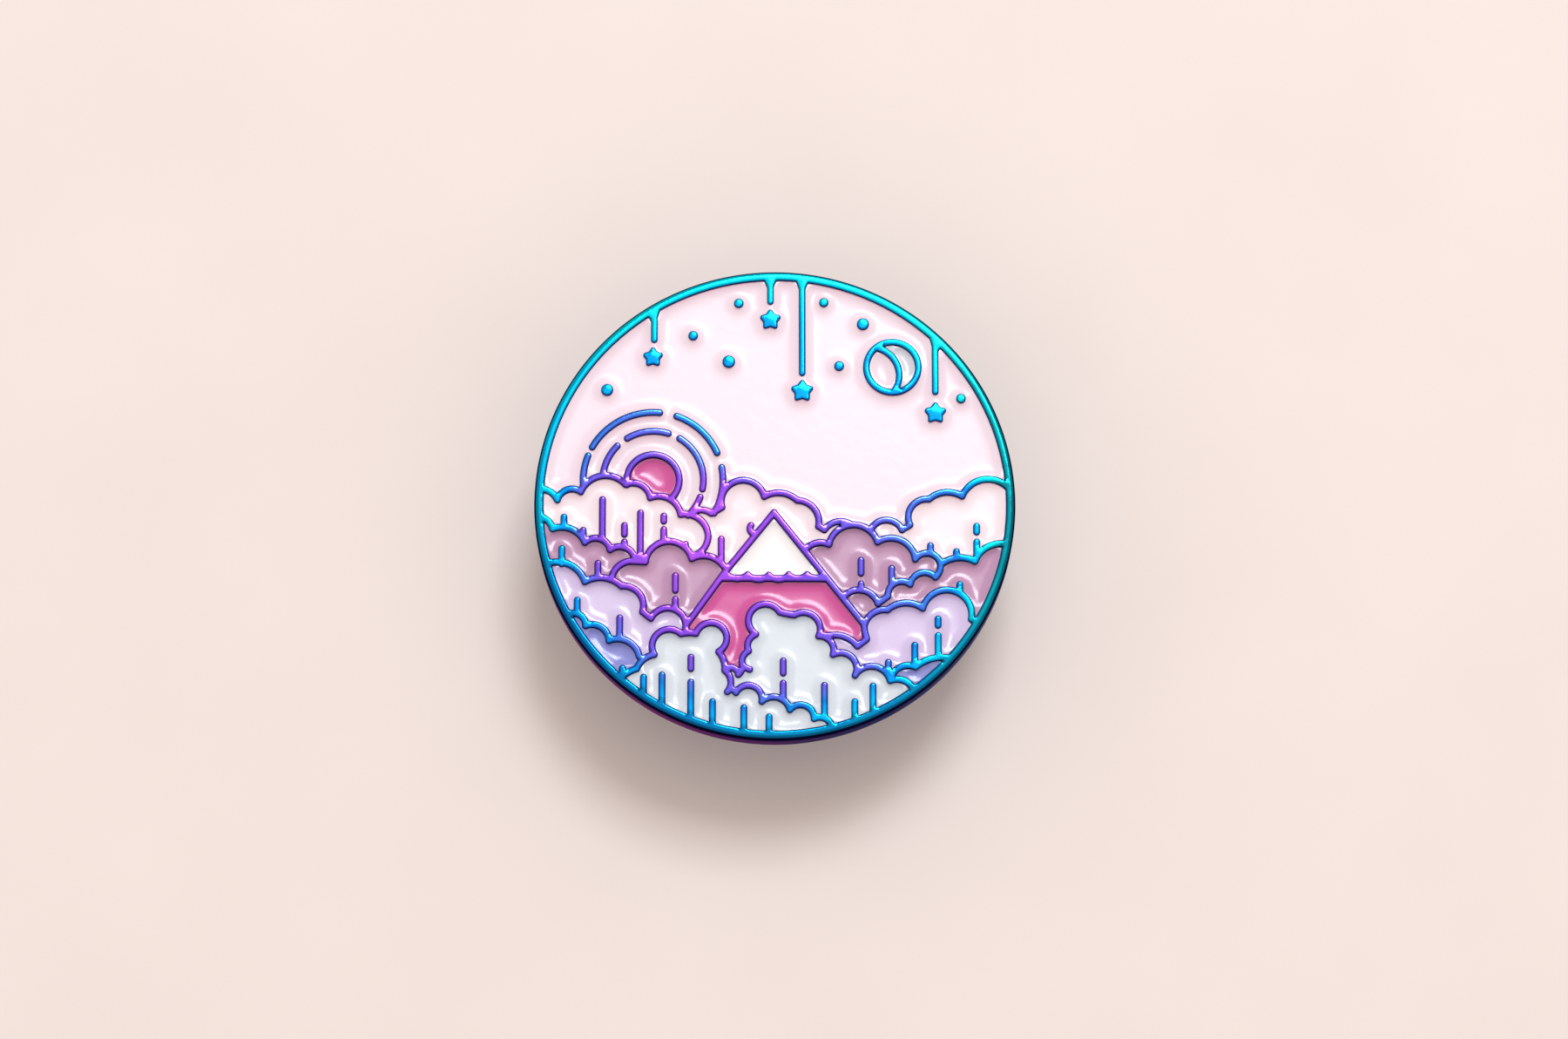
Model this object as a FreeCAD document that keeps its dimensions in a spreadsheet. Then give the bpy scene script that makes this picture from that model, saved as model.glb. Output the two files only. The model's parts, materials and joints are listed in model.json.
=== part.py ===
import FreeCAD, Part
import math
import os
import re
import Sketcher

# Round enamel pin, 32 mm across, with two posts and two butterfly clutches.
#
# Frame: +Z is the way the picture faces, +Y is the top of the picture, +X its right side. The origin is under
# the middle of the plate, at the level of the clutch caps' backs, so the pin stands on z = 0.
#
# Stack from below: clutches (cap backs at 0), the gap for the cloth, the plate's back, its floor, the tops of
# its raised lines. The enamel lies in the cells between the lines, a little lower than their tops.

# ---------------------------------------------------------------------------------------------------------
# Driving dimensions, millimetres and degrees
# ---------------------------------------------------------------------------------------------------------

SIZES = {
    # plate
    "plate_radius": 16.0,
    "plate_base": 1.5,
    "relief": 0.5,
    "rim_width": 0.63,
    "rim_round": 0.22,
    "back_round": 0.15,
    "sink_over": 0.3,
    "enamel_drop": 0.17,
    # place of the plate and the posts
    "cloth_gap": 3.0,
    "post_offset": 7.0,
    # post
    "post_length": 8.0,
    "post_radius": 0.5,
    "point_radius": 0.08,
    "point_length": 1.1,
    "notch_low": 2.6,
    "notch_slope": 0.2,
    "notch_flat": 0.4,
    "notch_radius": 0.36,
    "pad_radius": 1.5,
    "pad_thick": 0.4,
    "solder_height": 0.3,
    # clutch, heights from the back of its cap
    "clutch_height": 5.2,
    "sheet_thick": 0.35,
    "disc_radius": 5.75,
    "disc_bead": 0.35,
    "disc_dish": 0.2,
    "disc_flat_radius": 4.7,
    "guide_radius": 0.56,
    "funnel_radius": 1.75,
    "funnel_depth": 0.55,
    "cap_radius": 4.0,
    "cap_round": 0.45,
    "cap_flange": 4.8,
    "cap_hole": 0.9,
    "slot_width": 2.8,
    "slot_inner": 2.4,
    "slot_top": 2.2,
    # wing
    "strip_thick": 0.4,
    "strip_width": 2.4,
    "wing_width": 5.2,
    "wing_shoulder": 4.2,
    "wing_corner": 1.2,
    "wing_bend": 2.6,
    "wing_run": 3.8,
    "wing_drop": 1.3,
    "wing_clear": 0.15,
    "jaw_height": 3.3,
    "jaw_reach": 0.25,
    "jaw_radius": 0.55,
}

# Widths of the raised lines: picture lines, the finer ones of the moon and the hanging strings
LINE = 0.46
FINE = 0.44

# ---------------------------------------------------------------------------------------------------------
# The picture: centrelines of the raised lines, from the centre of the face, x right and y up.
# A chain is a start point and its steps. A pair is the end of a straight run; four numbers are an arc, a
# point that it passes and then its end.
# ---------------------------------------------------------------------------------------------------------

CHAINS = {
    "cloud_left": [
        (-15.6, 1.0), (-14.9, 0.78, -14.45, 0.25), (-13.77, 0.96, -12.9, 0.8), (-11.5, 1.9, -9.92, 1.3),
        (-8.85, 1.25, -8.28, 0.4), (-6.95, 0.3, -6.25, -0.75), (-4.95, -1.1, -4.42, -2.2),
        (-4.6, -2.9, -5.35, -3.55)],
    "cloud_centre": [
        (-5.75, -0.8), (-5.0, -0.44, -4.22, -0.68), (-3.5, -0.25), (-2.1, 1.6, -0.7, 0.48),
        (0.2, 0.74, 1.5, 0.22), (2.57, -0.27, 2.9, -1.55), (3.3, -1.8), (4.0, -1.27, 5.05, -1.42)],
    "cloud_right": [
        (6.35, -1.85), (7.2, -1.14, 8.45, -1.8), (8.98, -1.45), (9.1, -0.2, 10.25, 0.3),
        (11.3, 0.77, 12.46, 0.5), (13.9, 1.65, 15.6, 1.0)],
    "mauve_left": [
        (-15.6, -0.9), (-15.05, -1.2, -14.75, -1.72), (-13.5, -1.74, -12.6, -2.65),
        (-11.8, -2.36, -10.92, -3.15), (-10.1, -2.95, -9.35, -3.55), (-8.55, -3.9)],
    "mauve_centre": [
        (-10.8, -5.05), (-10.35, -4.25, -9.6, -3.93), (-8.58, -3.98), (-7.07, -2.57, -5.5, -3.75),
        (-4.4, -3.58, -3.4, -4.25)],
    "lilac_left": [
        (-15.3, -4.2), (-13.8, -4.08, -12.58, -5.32), (-11.5, -5.04, -10.15, -5.62),
        (-9.1, -5.97, -8.75, -7.35), (-8.18, -7.8), (-7.1, -7.1, -5.88, -8.2)],
    "slate_left": [
        (-13.9, -7.7), (-13.05, -7.5, -12.5, -8.3), (-11.7, -8.28, -10.95, -9.3),
        (-9.95, -9.25, -8.95, -10.35)],
    "mountain_left": [(-0.05, -0.62), (-3.25, -4.6), (-5.88, -8.3), (-5.9, -8.75)],
    "mountain_right": [(-0.05, -0.62), (5.9, -8.2), (5.95, -8.7), (6.08, -9.2)],
    "snow_edge": [
        (-3.3, -4.75), (-2.5, -5.12, -1.79, -4.85), (-1.08, -5.18, -0.39, -4.88), (0.27, -5.18, 0.93, -4.85),
        (1.55, -5.12, 2.14, -4.85), (2.75, -5.08, 3.25, -4.9)],
    "snow_base": [(-3.4, -5.08), (3.35, -5.12)],
    "mauve_right": [
        (2.05, -3.1), (2.8, -2.68, 3.6, -2.78), (5.1, -1.45, 6.82, -2.62), (8.2, -2.43, 9.32, -3.8),
        (10.15, -3.38, 11.0, -4.15), (12.1, -3.7, 13.28, -3.93), (13.95, -3.05, 15.35, -2.78)],
    "mauve_inner": [
        (11.0, -4.15), (10.93, -4.6, 10.65, -5.02), (9.85, -4.7, 8.97, -5.5), (8.1, -5.35, 7.5, -6.3),
        (6.83, -6.8), (5.75, -5.88, 4.55, -6.35)],
    "lilac_right": [
        (5.95, -8.2), (6.45, -7.48, 7.45, -7.23), (8.6, -6.76, 9.8, -7.12), (11.3, -5.88, 13.0, -7.85),
        (13.5, -8.25)],
    "mountain_foot": [(2.95, -8.95), (3.6, -8.98), (4.5, -9.0, 5.46, -9.68), (6.08, -9.2)],
    "mountain_tip": [(-3.15, -11.2), (-2.75, -11.15, -2.4, -11.6), (-2.2, -11.35, -2.1, -11.1)],
    "peak_stub": [(-1.58, -1.5), (-1.65, -1.75, -1.3, -2.05)],
    "grey_centre": [
        (-1.65, -11.25), (-2.1, -11.05), (-2.15, -10.55, -1.72, -10.0), (-1.78, -9.5, -1.25, -8.88),
        (-1.4, -7.15, 0.33, -7.38), (0.8, -7.5, 1.3, -7.58), (2.6, -7.65, 2.9, -9.0),
        (3.62, -9.27, 3.85, -10.25), (5.05, -10.38, 5.3, -11.65), (6.45, -11.03, 7.62, -12.0),
        (8.4, -11.95, 9.2, -12.8)],
    "slate_right": [(7.62, -12.0), (7.75, -11.6), (8.45, -11.03, 9.3, -11.08), (10.1, -10.6, 11.5, -10.5)],
    "grey_left": [
        (-10.2, -11.9), (-9.6, -11.4, -9.1, -11.2), (-8.7, -10.6, -7.95, -10.25), (-7.75, -8.85, -6.19, -8.85),
        (-5.7, -8.78, -5.2, -8.82), (-3.55, -8.33, -3.7, -10.05), (-3.38, -10.6, -3.3, -11.3),
        (-2.9, -11.95, -3.12, -12.75)],
    "grey_foot": [
        (-3.12, -12.75), (-2.8, -12.62, -2.55, -12.8), (-1.75, -12.31, -0.85, -13.4),
        (0.05, -13.1, 1.0, -13.95), (1.75, -13.62, 2.6, -14.55), (3.15, -14.48, 3.8, -15.3)],
}

# Upright bars that hang in the clouds: x, top, bottom
DRIPS = {
    "cloud_left": [
        (-14.0, -0.7, -1.6), (-12.72, -1.6, -2.4), (-11.45, 0.5, -2.4), (-9.98, -1.27, -2.1),
        (-9.98, -2.4, -2.95), (-8.92, -0.42, -3.55), (-7.37, -0.63, -1.2), (-7.37, -1.55, -2.5),
        (-5.92, -2.55, -2.95)],
    "cloud_centre": [(-3.55, -2.2, -3.9)],
    "cloud_right": [(10.33, -2.65, -3.4), (12.05, -3.05, -3.7), (13.4, -1.33, -1.95), (13.4, -2.4, -3.5)],
    "mauve_left": [(-14.12, -2.85, -4.1), (-11.72, -3.85, -5.0), (-6.58, -4.7, -5.9), (-6.58, -6.3, -7.15)],
    "mauve_right": [(5.72, -3.65, -4.75), (5.72, -5.25, -5.9), (7.75, -4.2, -5.5), (12.25, -5.3, -6.1)],
    "lilac_left": [(-13.07, -6.35, -7.5), (-10.25, -7.55, -9.15)],
    "lilac_right": [(10.8, -7.62, -8.27), (10.8, -8.75, -10.3), (9.25, -9.4, -10.95), (7.5, -10.55, -11.4)],
    "slate_left": [(-10.05, -10.95, -11.75)],
    "grey_left": [
        (-8.65, -11.55, -12.8), (-7.43, -11.4, -13.5), (-5.53, -10.2, -11.2), (-5.53, -11.88, -14.5),
        (-4.1, -13.2, -14.9), (-2.03, -13.6, -15.2), (-0.37, -14.22, -15.3)],
    "grey_centre": [
        (0.56, -10.45, -11.5), (0.56, -11.95, -13.15), (3.28, -12.1, -14.5), (5.28, -13.2, -14.5),
        (6.48, -12.15, -14.0)],
}

# The sun: its centre, the radius of its ring, and the broken rings round it as radius and start and end angles
SUN = (-8.1, 1.6)
SUN_RING = (1.75, (-41, 190))
SUN_RAYS = [
    (4.65, (84.8, 150.9)), (4.65, (23.8, 70.5)), (4.65, (159, 183)), (4.65, (-29, 10.7)),
    (3.35, (72.5, 121.2)), (3.35, (-10.4, 58.4)), (3.35, (135.7, 174)), (3.35, (-39, -20.4)),
]

# The moon: its centre, the radius of its ring, and the line that divides its disc from its crescent
MOON = (7.86, 9.37)
MOON_RING = 1.74
MOON_LINE = [(7.0, 10.65), (8.28, 9.2, 8.0, 7.75)]

# Stars on strings from the rim: x of the string, its lower end, the star's centre and outer radius
HANGING_STARS = [
    (-8.07, 11.05, (-8.15, 10.05), 0.68), (-0.3, 13.7, (-0.3, 12.65), 0.71),
    (1.83, 8.75, (1.83, 7.72), 0.76), (10.72, 7.45, (10.72, 6.2), 0.74),
]
STAR_POINTS = 5
STAR_WAIST = 0.62
STAR_ROUND = 0.16
# How far a string widens to each side where it meets the rim, and how far below the rim's middle that starts
FLARE_REACH = 0.3
FLARE_LENGTH = 0.8

# Round dots in the sky: x, y, radius
DOTS = [
    (-11.2, 7.8, 0.40), (-5.47, 11.55, 0.32), (-3.08, 9.75, 0.42), (-2.42, 13.8, 0.32), (3.28, 13.85, 0.31),
    (5.9, 12.35, 0.40), (4.3, 9.45, 0.33), (12.43, 7.2, 0.32),
]

# One point inside each cell that is filled with enamel
CELLS = {
    "enamel_sky": (0.0, 5.0),
    "enamel_sun": (-8.1, 2.2),
    "enamel_moon_disc": (7.2, 9.1),
    "enamel_moon_crescent": (8.8, 9.6),
    "enamel_cloud_left": (-10.5, 0.3),
    "enamel_cloud_centre": (-2.2, -0.5),
    "enamel_cloud_right": (12.0, -1.0),
    "enamel_snow_cap": (0.0, -3.0),
    "enamel_mountain": (0.0, -6.5),
    "enamel_mauve_left": (-13.0, -3.3),
    "enamel_mauve_centre": (-7.0, -4.0),
    "enamel_mauve_right": (6.5, -3.5),
    "enamel_mauve_far_right": (12.7, -5.0),
    "enamel_lilac_left": (-11.5, -6.5),
    "enamel_lilac_right": (9.0, -8.0),
    "enamel_slate_left": (-11.5, -9.6),
    "enamel_slate_right": (9.4, -11.6),
    "enamel_grey_left": (-6.5, -11.0),
    "enamel_grey_centre": (0.5, -9.0),
}

# ---------------------------------------------------------------------------------------------------------
# Document, sheet and helpers
# ---------------------------------------------------------------------------------------------------------

doc = FreeCAD.newDocument("enamel_pin")
sheet = doc.addObject("Spreadsheet::Sheet", "Sizes")
for row, (alias, value) in enumerate(SIZES.items(), start=1):
    sheet.set(f"A{row}", alias)
    sheet.set(f"B{row}", str(value))
    sheet.setAlias(f"B{row}", alias)
doc.recompute()

PLATE_BACK = "clutch_height + cloth_gap"
FLOOR = f"{PLATE_BACK} + plate_base"
HALF_STRIP = "strip_thick / 2"
WING_SLANT = "sqrt(wing_run * wing_run + wing_drop * wing_drop)"
WING_MITRE = f"{HALF_STRIP} * ({WING_SLANT} - wing_drop) / wing_run"
WING_TIP = f"{HALF_STRIP} * wing_run / {WING_SLANT}"
WING_HINGE = f"wing_clear + wing_drop + {WING_TIP}"


def bound(text):
    """Turn a formula in alias names into an expression on the sheet."""
    return re.sub(r"[a-z_]+", lambda word: "Sizes." * (word.group() in SIZES) + word.group(), text)


def number(text):
    """Work a formula in alias names out as a plain number."""
    result = sheet.evalExpression(bound(text))
    return float(getattr(result, "Value", result))


def place(obj, across="0", up="0", height="0", turn=0.0):
    """Bind an object's place to the sheet and turn it about the upright axis."""
    obj.Placement = FreeCAD.Placement(FreeCAD.Vector(), FreeCAD.Rotation(FreeCAD.Vector(0, 0, 1), turn))
    obj.setExpression("Placement.Base.x", bound(across))
    obj.setExpression("Placement.Base.y", bound(up))
    obj.setExpression("Placement.Base.z", bound(height))


def new_body(label):
    """Add a body whose label names its file."""
    body = doc.addObject("PartDesign::Body", label)
    body.Label = label
    return body


def outline(body, name, plane, corners):
    """Draw a closed outline of straight sides, each corner held by two formulas, on a plane of the body."""
    sketch = body.newObject("Sketcher::SketchObject", name)
    origin = next(item for item in body.Origin.OriginFeatures if item.Role == plane)
    sketch.AttachmentSupport = [(origin, "")]
    sketch.MapMode = "FlatFace"
    points = [FreeCAD.Vector(number(x), number(y), 0) for x, y in corners]
    for start, end in zip(points, points[1:] + points[:1]):
        sketch.addGeometry(Part.LineSegment(start, end), False)
    for side in range(len(points)):
        sketch.addConstraint(Sketcher.Constraint("Coincident", side, 2, (side + 1) % len(points), 1))
    for side, ((x, y), point) in enumerate(zip(corners, points)):
        hold(sketch, "DistanceX", side, x, point.x, -2)
        hold(sketch, "DistanceY", side, y, point.y, -1)
    return sketch


def hold(sketch, kind, side, formula, value, axis):
    """Hold the start of a side at a formula's distance from the origin, or on the axis where that is zero."""
    if abs(value) < 1e-9:
        sketch.addConstraint(Sketcher.Constraint("PointOnObject", side, 1, axis))
        return
    index = sketch.addConstraint(Sketcher.Constraint(kind, -1, 1, side, 1, value))
    sketch.setExpression(f"Constraints[{index}]", bound(formula))


def turned(body, corners):
    """Turn an outline of radius and height about the body's upright axis."""
    sketch = outline(body, f"{body.Label}_profile", "XZ_Plane", corners)
    revolution = body.newObject("PartDesign::Revolution", f"{body.Label}_turned")
    revolution.Profile = sketch
    revolution.ReferenceAxis = (sketch, ["V_Axis"])
    revolution.Angle = 360.0
    doc.recompute()
    return revolution


def rounded(body, base, wanted, size):
    """Round the edges of a feature that the test picks, with the radius from the sheet."""
    names = [f"Edge{n}" for n, edge in enumerate(base.Shape.Edges, start=1) if wanted(edge)]
    fillet = body.newObject("PartDesign::Fillet", f"{body.Label}_{size}")
    fillet.Base = (base, names)
    fillet.Radius = number(size)
    fillet.setExpression("Radius", bound(size))
    doc.recompute()
    return fillet


def circle_at(radius, height):
    """Make a test for round edges of this radius at this height in the body's own frame."""
    def wanted(edge):
        curve = edge.Curve
        is_round = isinstance(curve, Part.Circle)
        return is_round and abs(curve.Radius - radius) < 1e-4 and abs(curve.Center.z - height) < 1e-4
    return wanted


# ---------------------------------------------------------------------------------------------------------
# Line work: faces in the plane of the picture
# ---------------------------------------------------------------------------------------------------------

def point(x, y):
    """Give a point of the picture."""
    return FreeCAD.Vector(x, y, 0)


def dot(centre, radius):
    """Make a round face."""
    return Part.Face(Part.Wire(Part.makeCircle(radius, point(*centre))))


def bar(start, end, width):
    """Make a straight stroke with round ends."""
    along = point(*end) - point(*start)
    along.normalize()
    tip = along * (width / 2)
    side = FreeCAD.Vector(-tip.y, tip.x, 0)
    first = point(*start)
    last = point(*end)
    edges = [
        Part.makeLine(first + side, last + side),
        Part.Arc(last + side, last + tip, last - side).toShape(),
        Part.makeLine(last - side, first - side),
        Part.Arc(first - side, first - tip, first + side).toShape(),
    ]
    return Part.Face(Part.Wire(edges))


def stroke(chain, width):
    """Make a stroke with round ends and joints along a chain."""
    if len(chain) == 2 and len(chain[1]) == 2:
        return bar(*chain, width)
    edges = []
    start = chain[0]
    for step in chain[1:]:
        end = step[-2:]
        if len(step) == 4:
            edges.append(Part.Arc(point(*start), point(*step[:2]), point(*end)).toShape())
        else:
            edges.append(Part.makeLine(point(*start), point(*end)))
        start = end
    return Part.Wire(edges).makeOffset2D(width / 2, 0, True, False)


def ring_part(centre, radius, angles, width):
    """Make a stroke with round ends along part of a circle, its angles in degrees."""
    first, last = (math.radians(angle) for angle in angles)
    turns = (first, (first + last) / 2, last)
    start, middle, end = [(centre[0] + radius * math.cos(a), centre[1] + radius * math.sin(a)) for a in turns]
    return stroke([start, middle + end], width)


def star(centre, radius):
    """Make a star with one point up and rounded points."""
    corners = []
    for corner in range(2 * STAR_POINTS):
        turn = math.radians(90 + 180 * corner / STAR_POINTS)
        reach = (radius - STAR_ROUND) * (STAR_WAIST if corner % 2 else 1)
        corners.append(point(centre[0] + reach * math.cos(turn), centre[1] + reach * math.sin(turn)))
    return Part.Face(Part.makePolygon(corners + corners[:1])).makeOffset2D(STAR_ROUND, 0, False, False)


def hanging_star(x, low, centre, radius):
    """Make a string from the rim, wider where it leaves the rim, and the star below it."""
    left = x - FINE / 2
    right = x + FINE / 2
    flare = Part.Face(Part.makePolygon([
        point(left, on_rim(left) - FLARE_LENGTH), point(right, on_rim(right) - FLARE_LENGTH),
        point(right + FLARE_REACH, on_rim(right + FLARE_REACH)),
        point(left - FLARE_REACH, on_rim(left - FLARE_REACH)), point(left, on_rim(left) - FLARE_LENGTH)]))
    return [bar((x, on_rim(x)), (x, low + FINE / 2), FINE), flare, star(centre, radius)]


def on_rim(x):
    """Work out how high the middle of the rim is at a place to the left or right."""
    return math.sqrt(RIM_MIDDLE ** 2 - x ** 2)


def line_work():
    """Make the strokes of every raised line of the picture."""
    faces = [stroke(chain, LINE) for chain in CHAINS.values()]
    for drips in DRIPS.values():
        faces += [bar((x, high - LINE / 2), (x, low), LINE) for x, high, low in drips]
    for radius, angles in [SUN_RING] + SUN_RAYS:
        faces.append(ring_part(SUN, radius, angles, LINE))
    faces.append(dot(MOON, MOON_RING + FINE / 2).cut(dot(MOON, MOON_RING - FINE / 2)).Faces[0])
    faces.append(stroke(MOON_LINE, FINE))
    for hanging in HANGING_STARS:
        faces += hanging_star(*hanging)
    faces += [dot((x, y), radius) for x, y, radius in DOTS]
    return faces


def flat_feature(name, shape, height):
    """Keep a flat shape in the document at a height from the sheet."""
    feature = doc.addObject("Part::Feature", name)
    feature.Shape = shape
    place(feature, height=height)
    return feature


def raised(name, base, length):
    """Raise a flat feature by a formula's length."""
    solid = doc.addObject("Part::Extrusion", name)
    solid.Base = base
    solid.DirMode = "Custom"
    solid.Dir = FreeCAD.Vector(0, 0, 1)
    solid.Solid = True
    solid.setExpression("LengthFwd", bound(length))
    solid.Label = name
    return solid


RIM_INNER = number("plate_radius - rim_width")
RIM_MIDDLE = number("plate_radius - rim_width / 2")

# ---------------------------------------------------------------------------------------------------------
# Plate and enamel. The line work divides the face inside the rim into cells. The plate is a turned blank with
# each cell sunk into it, and each cell holds one pool of enamel.
# ---------------------------------------------------------------------------------------------------------

blank = new_body("blank")
blank_turned = turned(blank, [
    ("0", "0"),
    ("plate_radius", "0"),
    ("plate_radius", "plate_base + relief"),
    ("0", "plate_base + relief"),
])
blank_rim = rounded(
    blank, blank_turned, circle_at(number("plate_radius"), number("plate_base + relief")), "rim_round")
rounded(blank, blank_rim, circle_at(number("plate_radius"), 0.0), "back_round")
place(blank, height=PLATE_BACK)

open_cells = dot((0, 0), RIM_INNER).cut(line_work()).Faces
assert len(open_cells) == len(CELLS), f"{len(open_cells)} cells for {len(CELLS)} names"
enamel = []
sinks = []
for name, spot in CELLS.items():
    face = next(cell for cell in open_cells if cell.isInside(point(*spot), 1e-4, True))
    flat = flat_feature(f"{name}_flat", face, FLOOR)
    enamel.append(raised(name, flat, "relief - enamel_drop"))
    sinks.append(raised(f"{name}_sink", flat, "relief + sink_over"))
sunk = doc.addObject("Part::Compound", "sunk_cells")
sunk.Links = sinks
plate = doc.addObject("Part::Cut", "plate")
plate.Base = blank
plate.Tool = sunk
plate.Label = "plate"

# ---------------------------------------------------------------------------------------------------------
# Posts: pointed and notched, with a pad soldered to the plate's back. Heights from the point.
# ---------------------------------------------------------------------------------------------------------

SIDES = {"left": "-post_offset", "right": "post_offset"}
POST_PROFILE = [
    ("0", "0"),
    ("point_radius", "0"),
    ("post_radius", "point_length"),
    ("post_radius", "notch_low"),
    ("notch_radius", "notch_low + notch_slope"),
    ("notch_radius", "notch_low + notch_slope + notch_flat"),
    ("post_radius", "notch_low + 2 * notch_slope + notch_flat"),
    ("post_radius", "post_length - pad_thick - solder_height"),
    ("post_radius + solder_height", "post_length - pad_thick"),
    ("pad_radius", "post_length - pad_thick"),
    ("pad_radius", "post_length"),
    ("0", "post_length"),
]


def make_post(side, across):
    """Turn one post and stand it under the plate."""
    body = new_body(f"{side}_post")
    turned(body, POST_PROFILE)
    place(body, across=across, height=f"{PLATE_BACK} - post_length")
    return body


# ---------------------------------------------------------------------------------------------------------
# Butterfly clutch: a dished disc with a funnel for the post, a cap with two slots, and two wings of bent
# strip. Heights from the back of the cap.
# ---------------------------------------------------------------------------------------------------------

DISC_TOP = "clutch_height - disc_dish"
DISC_PROFILE = [
    ("guide_radius", f"{DISC_TOP} - funnel_depth"),
    ("funnel_radius", DISC_TOP),
    ("disc_flat_radius", DISC_TOP),
    ("disc_flat_radius + disc_bead", "clutch_height"),
    ("disc_radius - disc_bead / 3", "clutch_height"),
    ("disc_radius", "clutch_height - disc_bead / 3"),
    ("disc_radius", "clutch_height - 2 * disc_bead"),
    ("disc_radius - disc_bead", "clutch_height - 2 * disc_bead"),
    ("disc_radius - disc_bead", "clutch_height - sheet_thick"),
    ("disc_flat_radius + disc_bead", "clutch_height - sheet_thick"),
    ("disc_flat_radius", f"{DISC_TOP} - sheet_thick"),
    ("funnel_radius", f"{DISC_TOP} - sheet_thick"),
    ("guide_radius", f"{DISC_TOP} - sheet_thick - funnel_depth"),
]
CAP_TOP = f"{DISC_TOP} - sheet_thick"
CAP_PROFILE = [
    ("cap_hole", "0"),
    ("cap_radius", "0"),
    ("cap_radius", f"{CAP_TOP} - sheet_thick"),
    ("cap_flange", f"{CAP_TOP} - sheet_thick"),
    ("cap_flange", CAP_TOP),
    ("cap_radius - sheet_thick", CAP_TOP),
    ("cap_radius - sheet_thick", "sheet_thick"),
    ("cap_hole", "sheet_thick"),
]
SLOT_OUTLINE = [
    ("-slot_width / 2", "slot_inner"),
    ("slot_width / 2", "slot_inner"),
    ("slot_width / 2", "cap_flange"),
    ("-slot_width / 2", "cap_flange"),
]
WING_PROFILE = [
    ("jaw_reach", f"jaw_height - {HALF_STRIP}"),
    (f"wing_bend - {HALF_STRIP}", f"jaw_height - {HALF_STRIP}"),
    (f"wing_bend - {HALF_STRIP}", f"{WING_HINGE} - {WING_MITRE}"),
    (f"wing_bend + wing_run - {HALF_STRIP} * wing_drop / {WING_SLANT}", "wing_clear"),
    (f"wing_bend + wing_run + {HALF_STRIP} * wing_drop / {WING_SLANT}", f"wing_clear + 2 * {WING_TIP}"),
    (f"wing_bend + {HALF_STRIP}", f"{WING_HINGE} + {WING_MITRE}"),
    (f"wing_bend + {HALF_STRIP}", f"jaw_height + {HALF_STRIP}"),
    ("jaw_reach", f"jaw_height + {HALF_STRIP}"),
]


def pocket_through(body, base, sketch, length):
    """Cut a sketch upwards through a body and check that it removes metal."""
    pocket = body.newObject("PartDesign::Pocket", f"{sketch.Name}_cut")
    pocket.Profile = sketch
    pocket.Reversed = True
    pocket.Length = number(length)
    pocket.setExpression("Length", bound(length))
    doc.recompute()
    assert pocket.Shape.Volume < base.Shape.Volume, f"{pocket.Name} cuts nothing"
    return pocket


def make_disc(side, across):
    """Turn the clutch's disc."""
    body = new_body(f"{side}_clutch_disc")
    turned(body, DISC_PROFILE)
    place(body, across=across)
    return body


def make_cap(side, across):
    """Turn the clutch's cap, round its back edge and cut the two slots for the wings."""
    body = new_body(f"{side}_clutch_cap")
    shell = turned(body, CAP_PROFILE)
    soft = rounded(body, shell, circle_at(number("cap_radius"), 0.0), "cap_round")
    slot = outline(body, f"{side}_slot", "XY_Plane", SLOT_OUTLINE)
    cut = pocket_through(body, soft, slot, "slot_top")
    pair = body.newObject("PartDesign::PolarPattern", f"{side}_slot_pair")
    pair.Originals = [cut]
    pair.Axis = (slot, ["N_Axis"])
    pair.Angle = 360.0
    pair.Occurrences = 2
    body.Tip = pair
    doc.recompute()
    assert pair.Shape.Volume < cut.Shape.Volume, "the second slot cuts nothing"
    place(body, across=across)
    return body


def make_wing(side, end, across, turn):
    """Bend the strip of one wing, narrow it inside the cap, notch its jaw and round its corners."""
    body = new_body(f"{side}_clutch_{end}_wing")
    name = f"{side}_{end}"
    profile = outline(body, f"{name}_strip", "YZ_Plane", WING_PROFILE)
    strip = body.newObject("PartDesign::Pad", f"{name}_pad")
    strip.Profile = profile
    strip.SideType = "Symmetric"
    strip.Length = number("wing_width")
    strip.setExpression("Length", bound("wing_width"))
    doc.recompute()
    last = strip
    for hand, sign in (("a", ""), ("b", "-")):
        waist = outline(body, f"{name}_waist_{hand}", "XY_Plane", [
            (f"{sign}strip_width / 2", "0"),
            (f"{sign}wing_width", "0"),
            (f"{sign}wing_width", "wing_shoulder"),
            (f"{sign}strip_width / 2", "wing_shoulder"),
        ])
        last = pocket_through(body, last, waist, "clutch_height")
    jaw = body.newObject("Sketcher::SketchObject", f"{name}_jaw")
    jaw.AttachmentSupport = [(next(i for i in body.Origin.OriginFeatures if i.Role == "XY_Plane"), "")]
    jaw.MapMode = "FlatFace"
    jaw.addGeometry(Part.Circle(FreeCAD.Vector(), FreeCAD.Vector(0, 0, 1), number("jaw_radius")), False)
    jaw.addConstraint(Sketcher.Constraint("Coincident", 0, 3, -1, 1))
    radius = jaw.addConstraint(Sketcher.Constraint("Radius", 0, number("jaw_radius")))
    jaw.setExpression(f"Constraints[{radius}]", bound("jaw_radius"))
    last = pocket_through(body, last, jaw, "clutch_height")
    tip_y = number("wing_bend + wing_run")
    half = number("wing_width / 2")

    def tip_corner(edge):
        """Pick the short edges across the strip's thickness at its two outer corners."""
        middle = edge.CenterOfMass
        return abs(middle.y - tip_y) < 0.01 and abs(abs(middle.x) - half) < 0.01 and edge.Length < 0.5

    rounded(body, last, tip_corner, "wing_corner")
    place(body, across=across, turn=turn)
    return body


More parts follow.
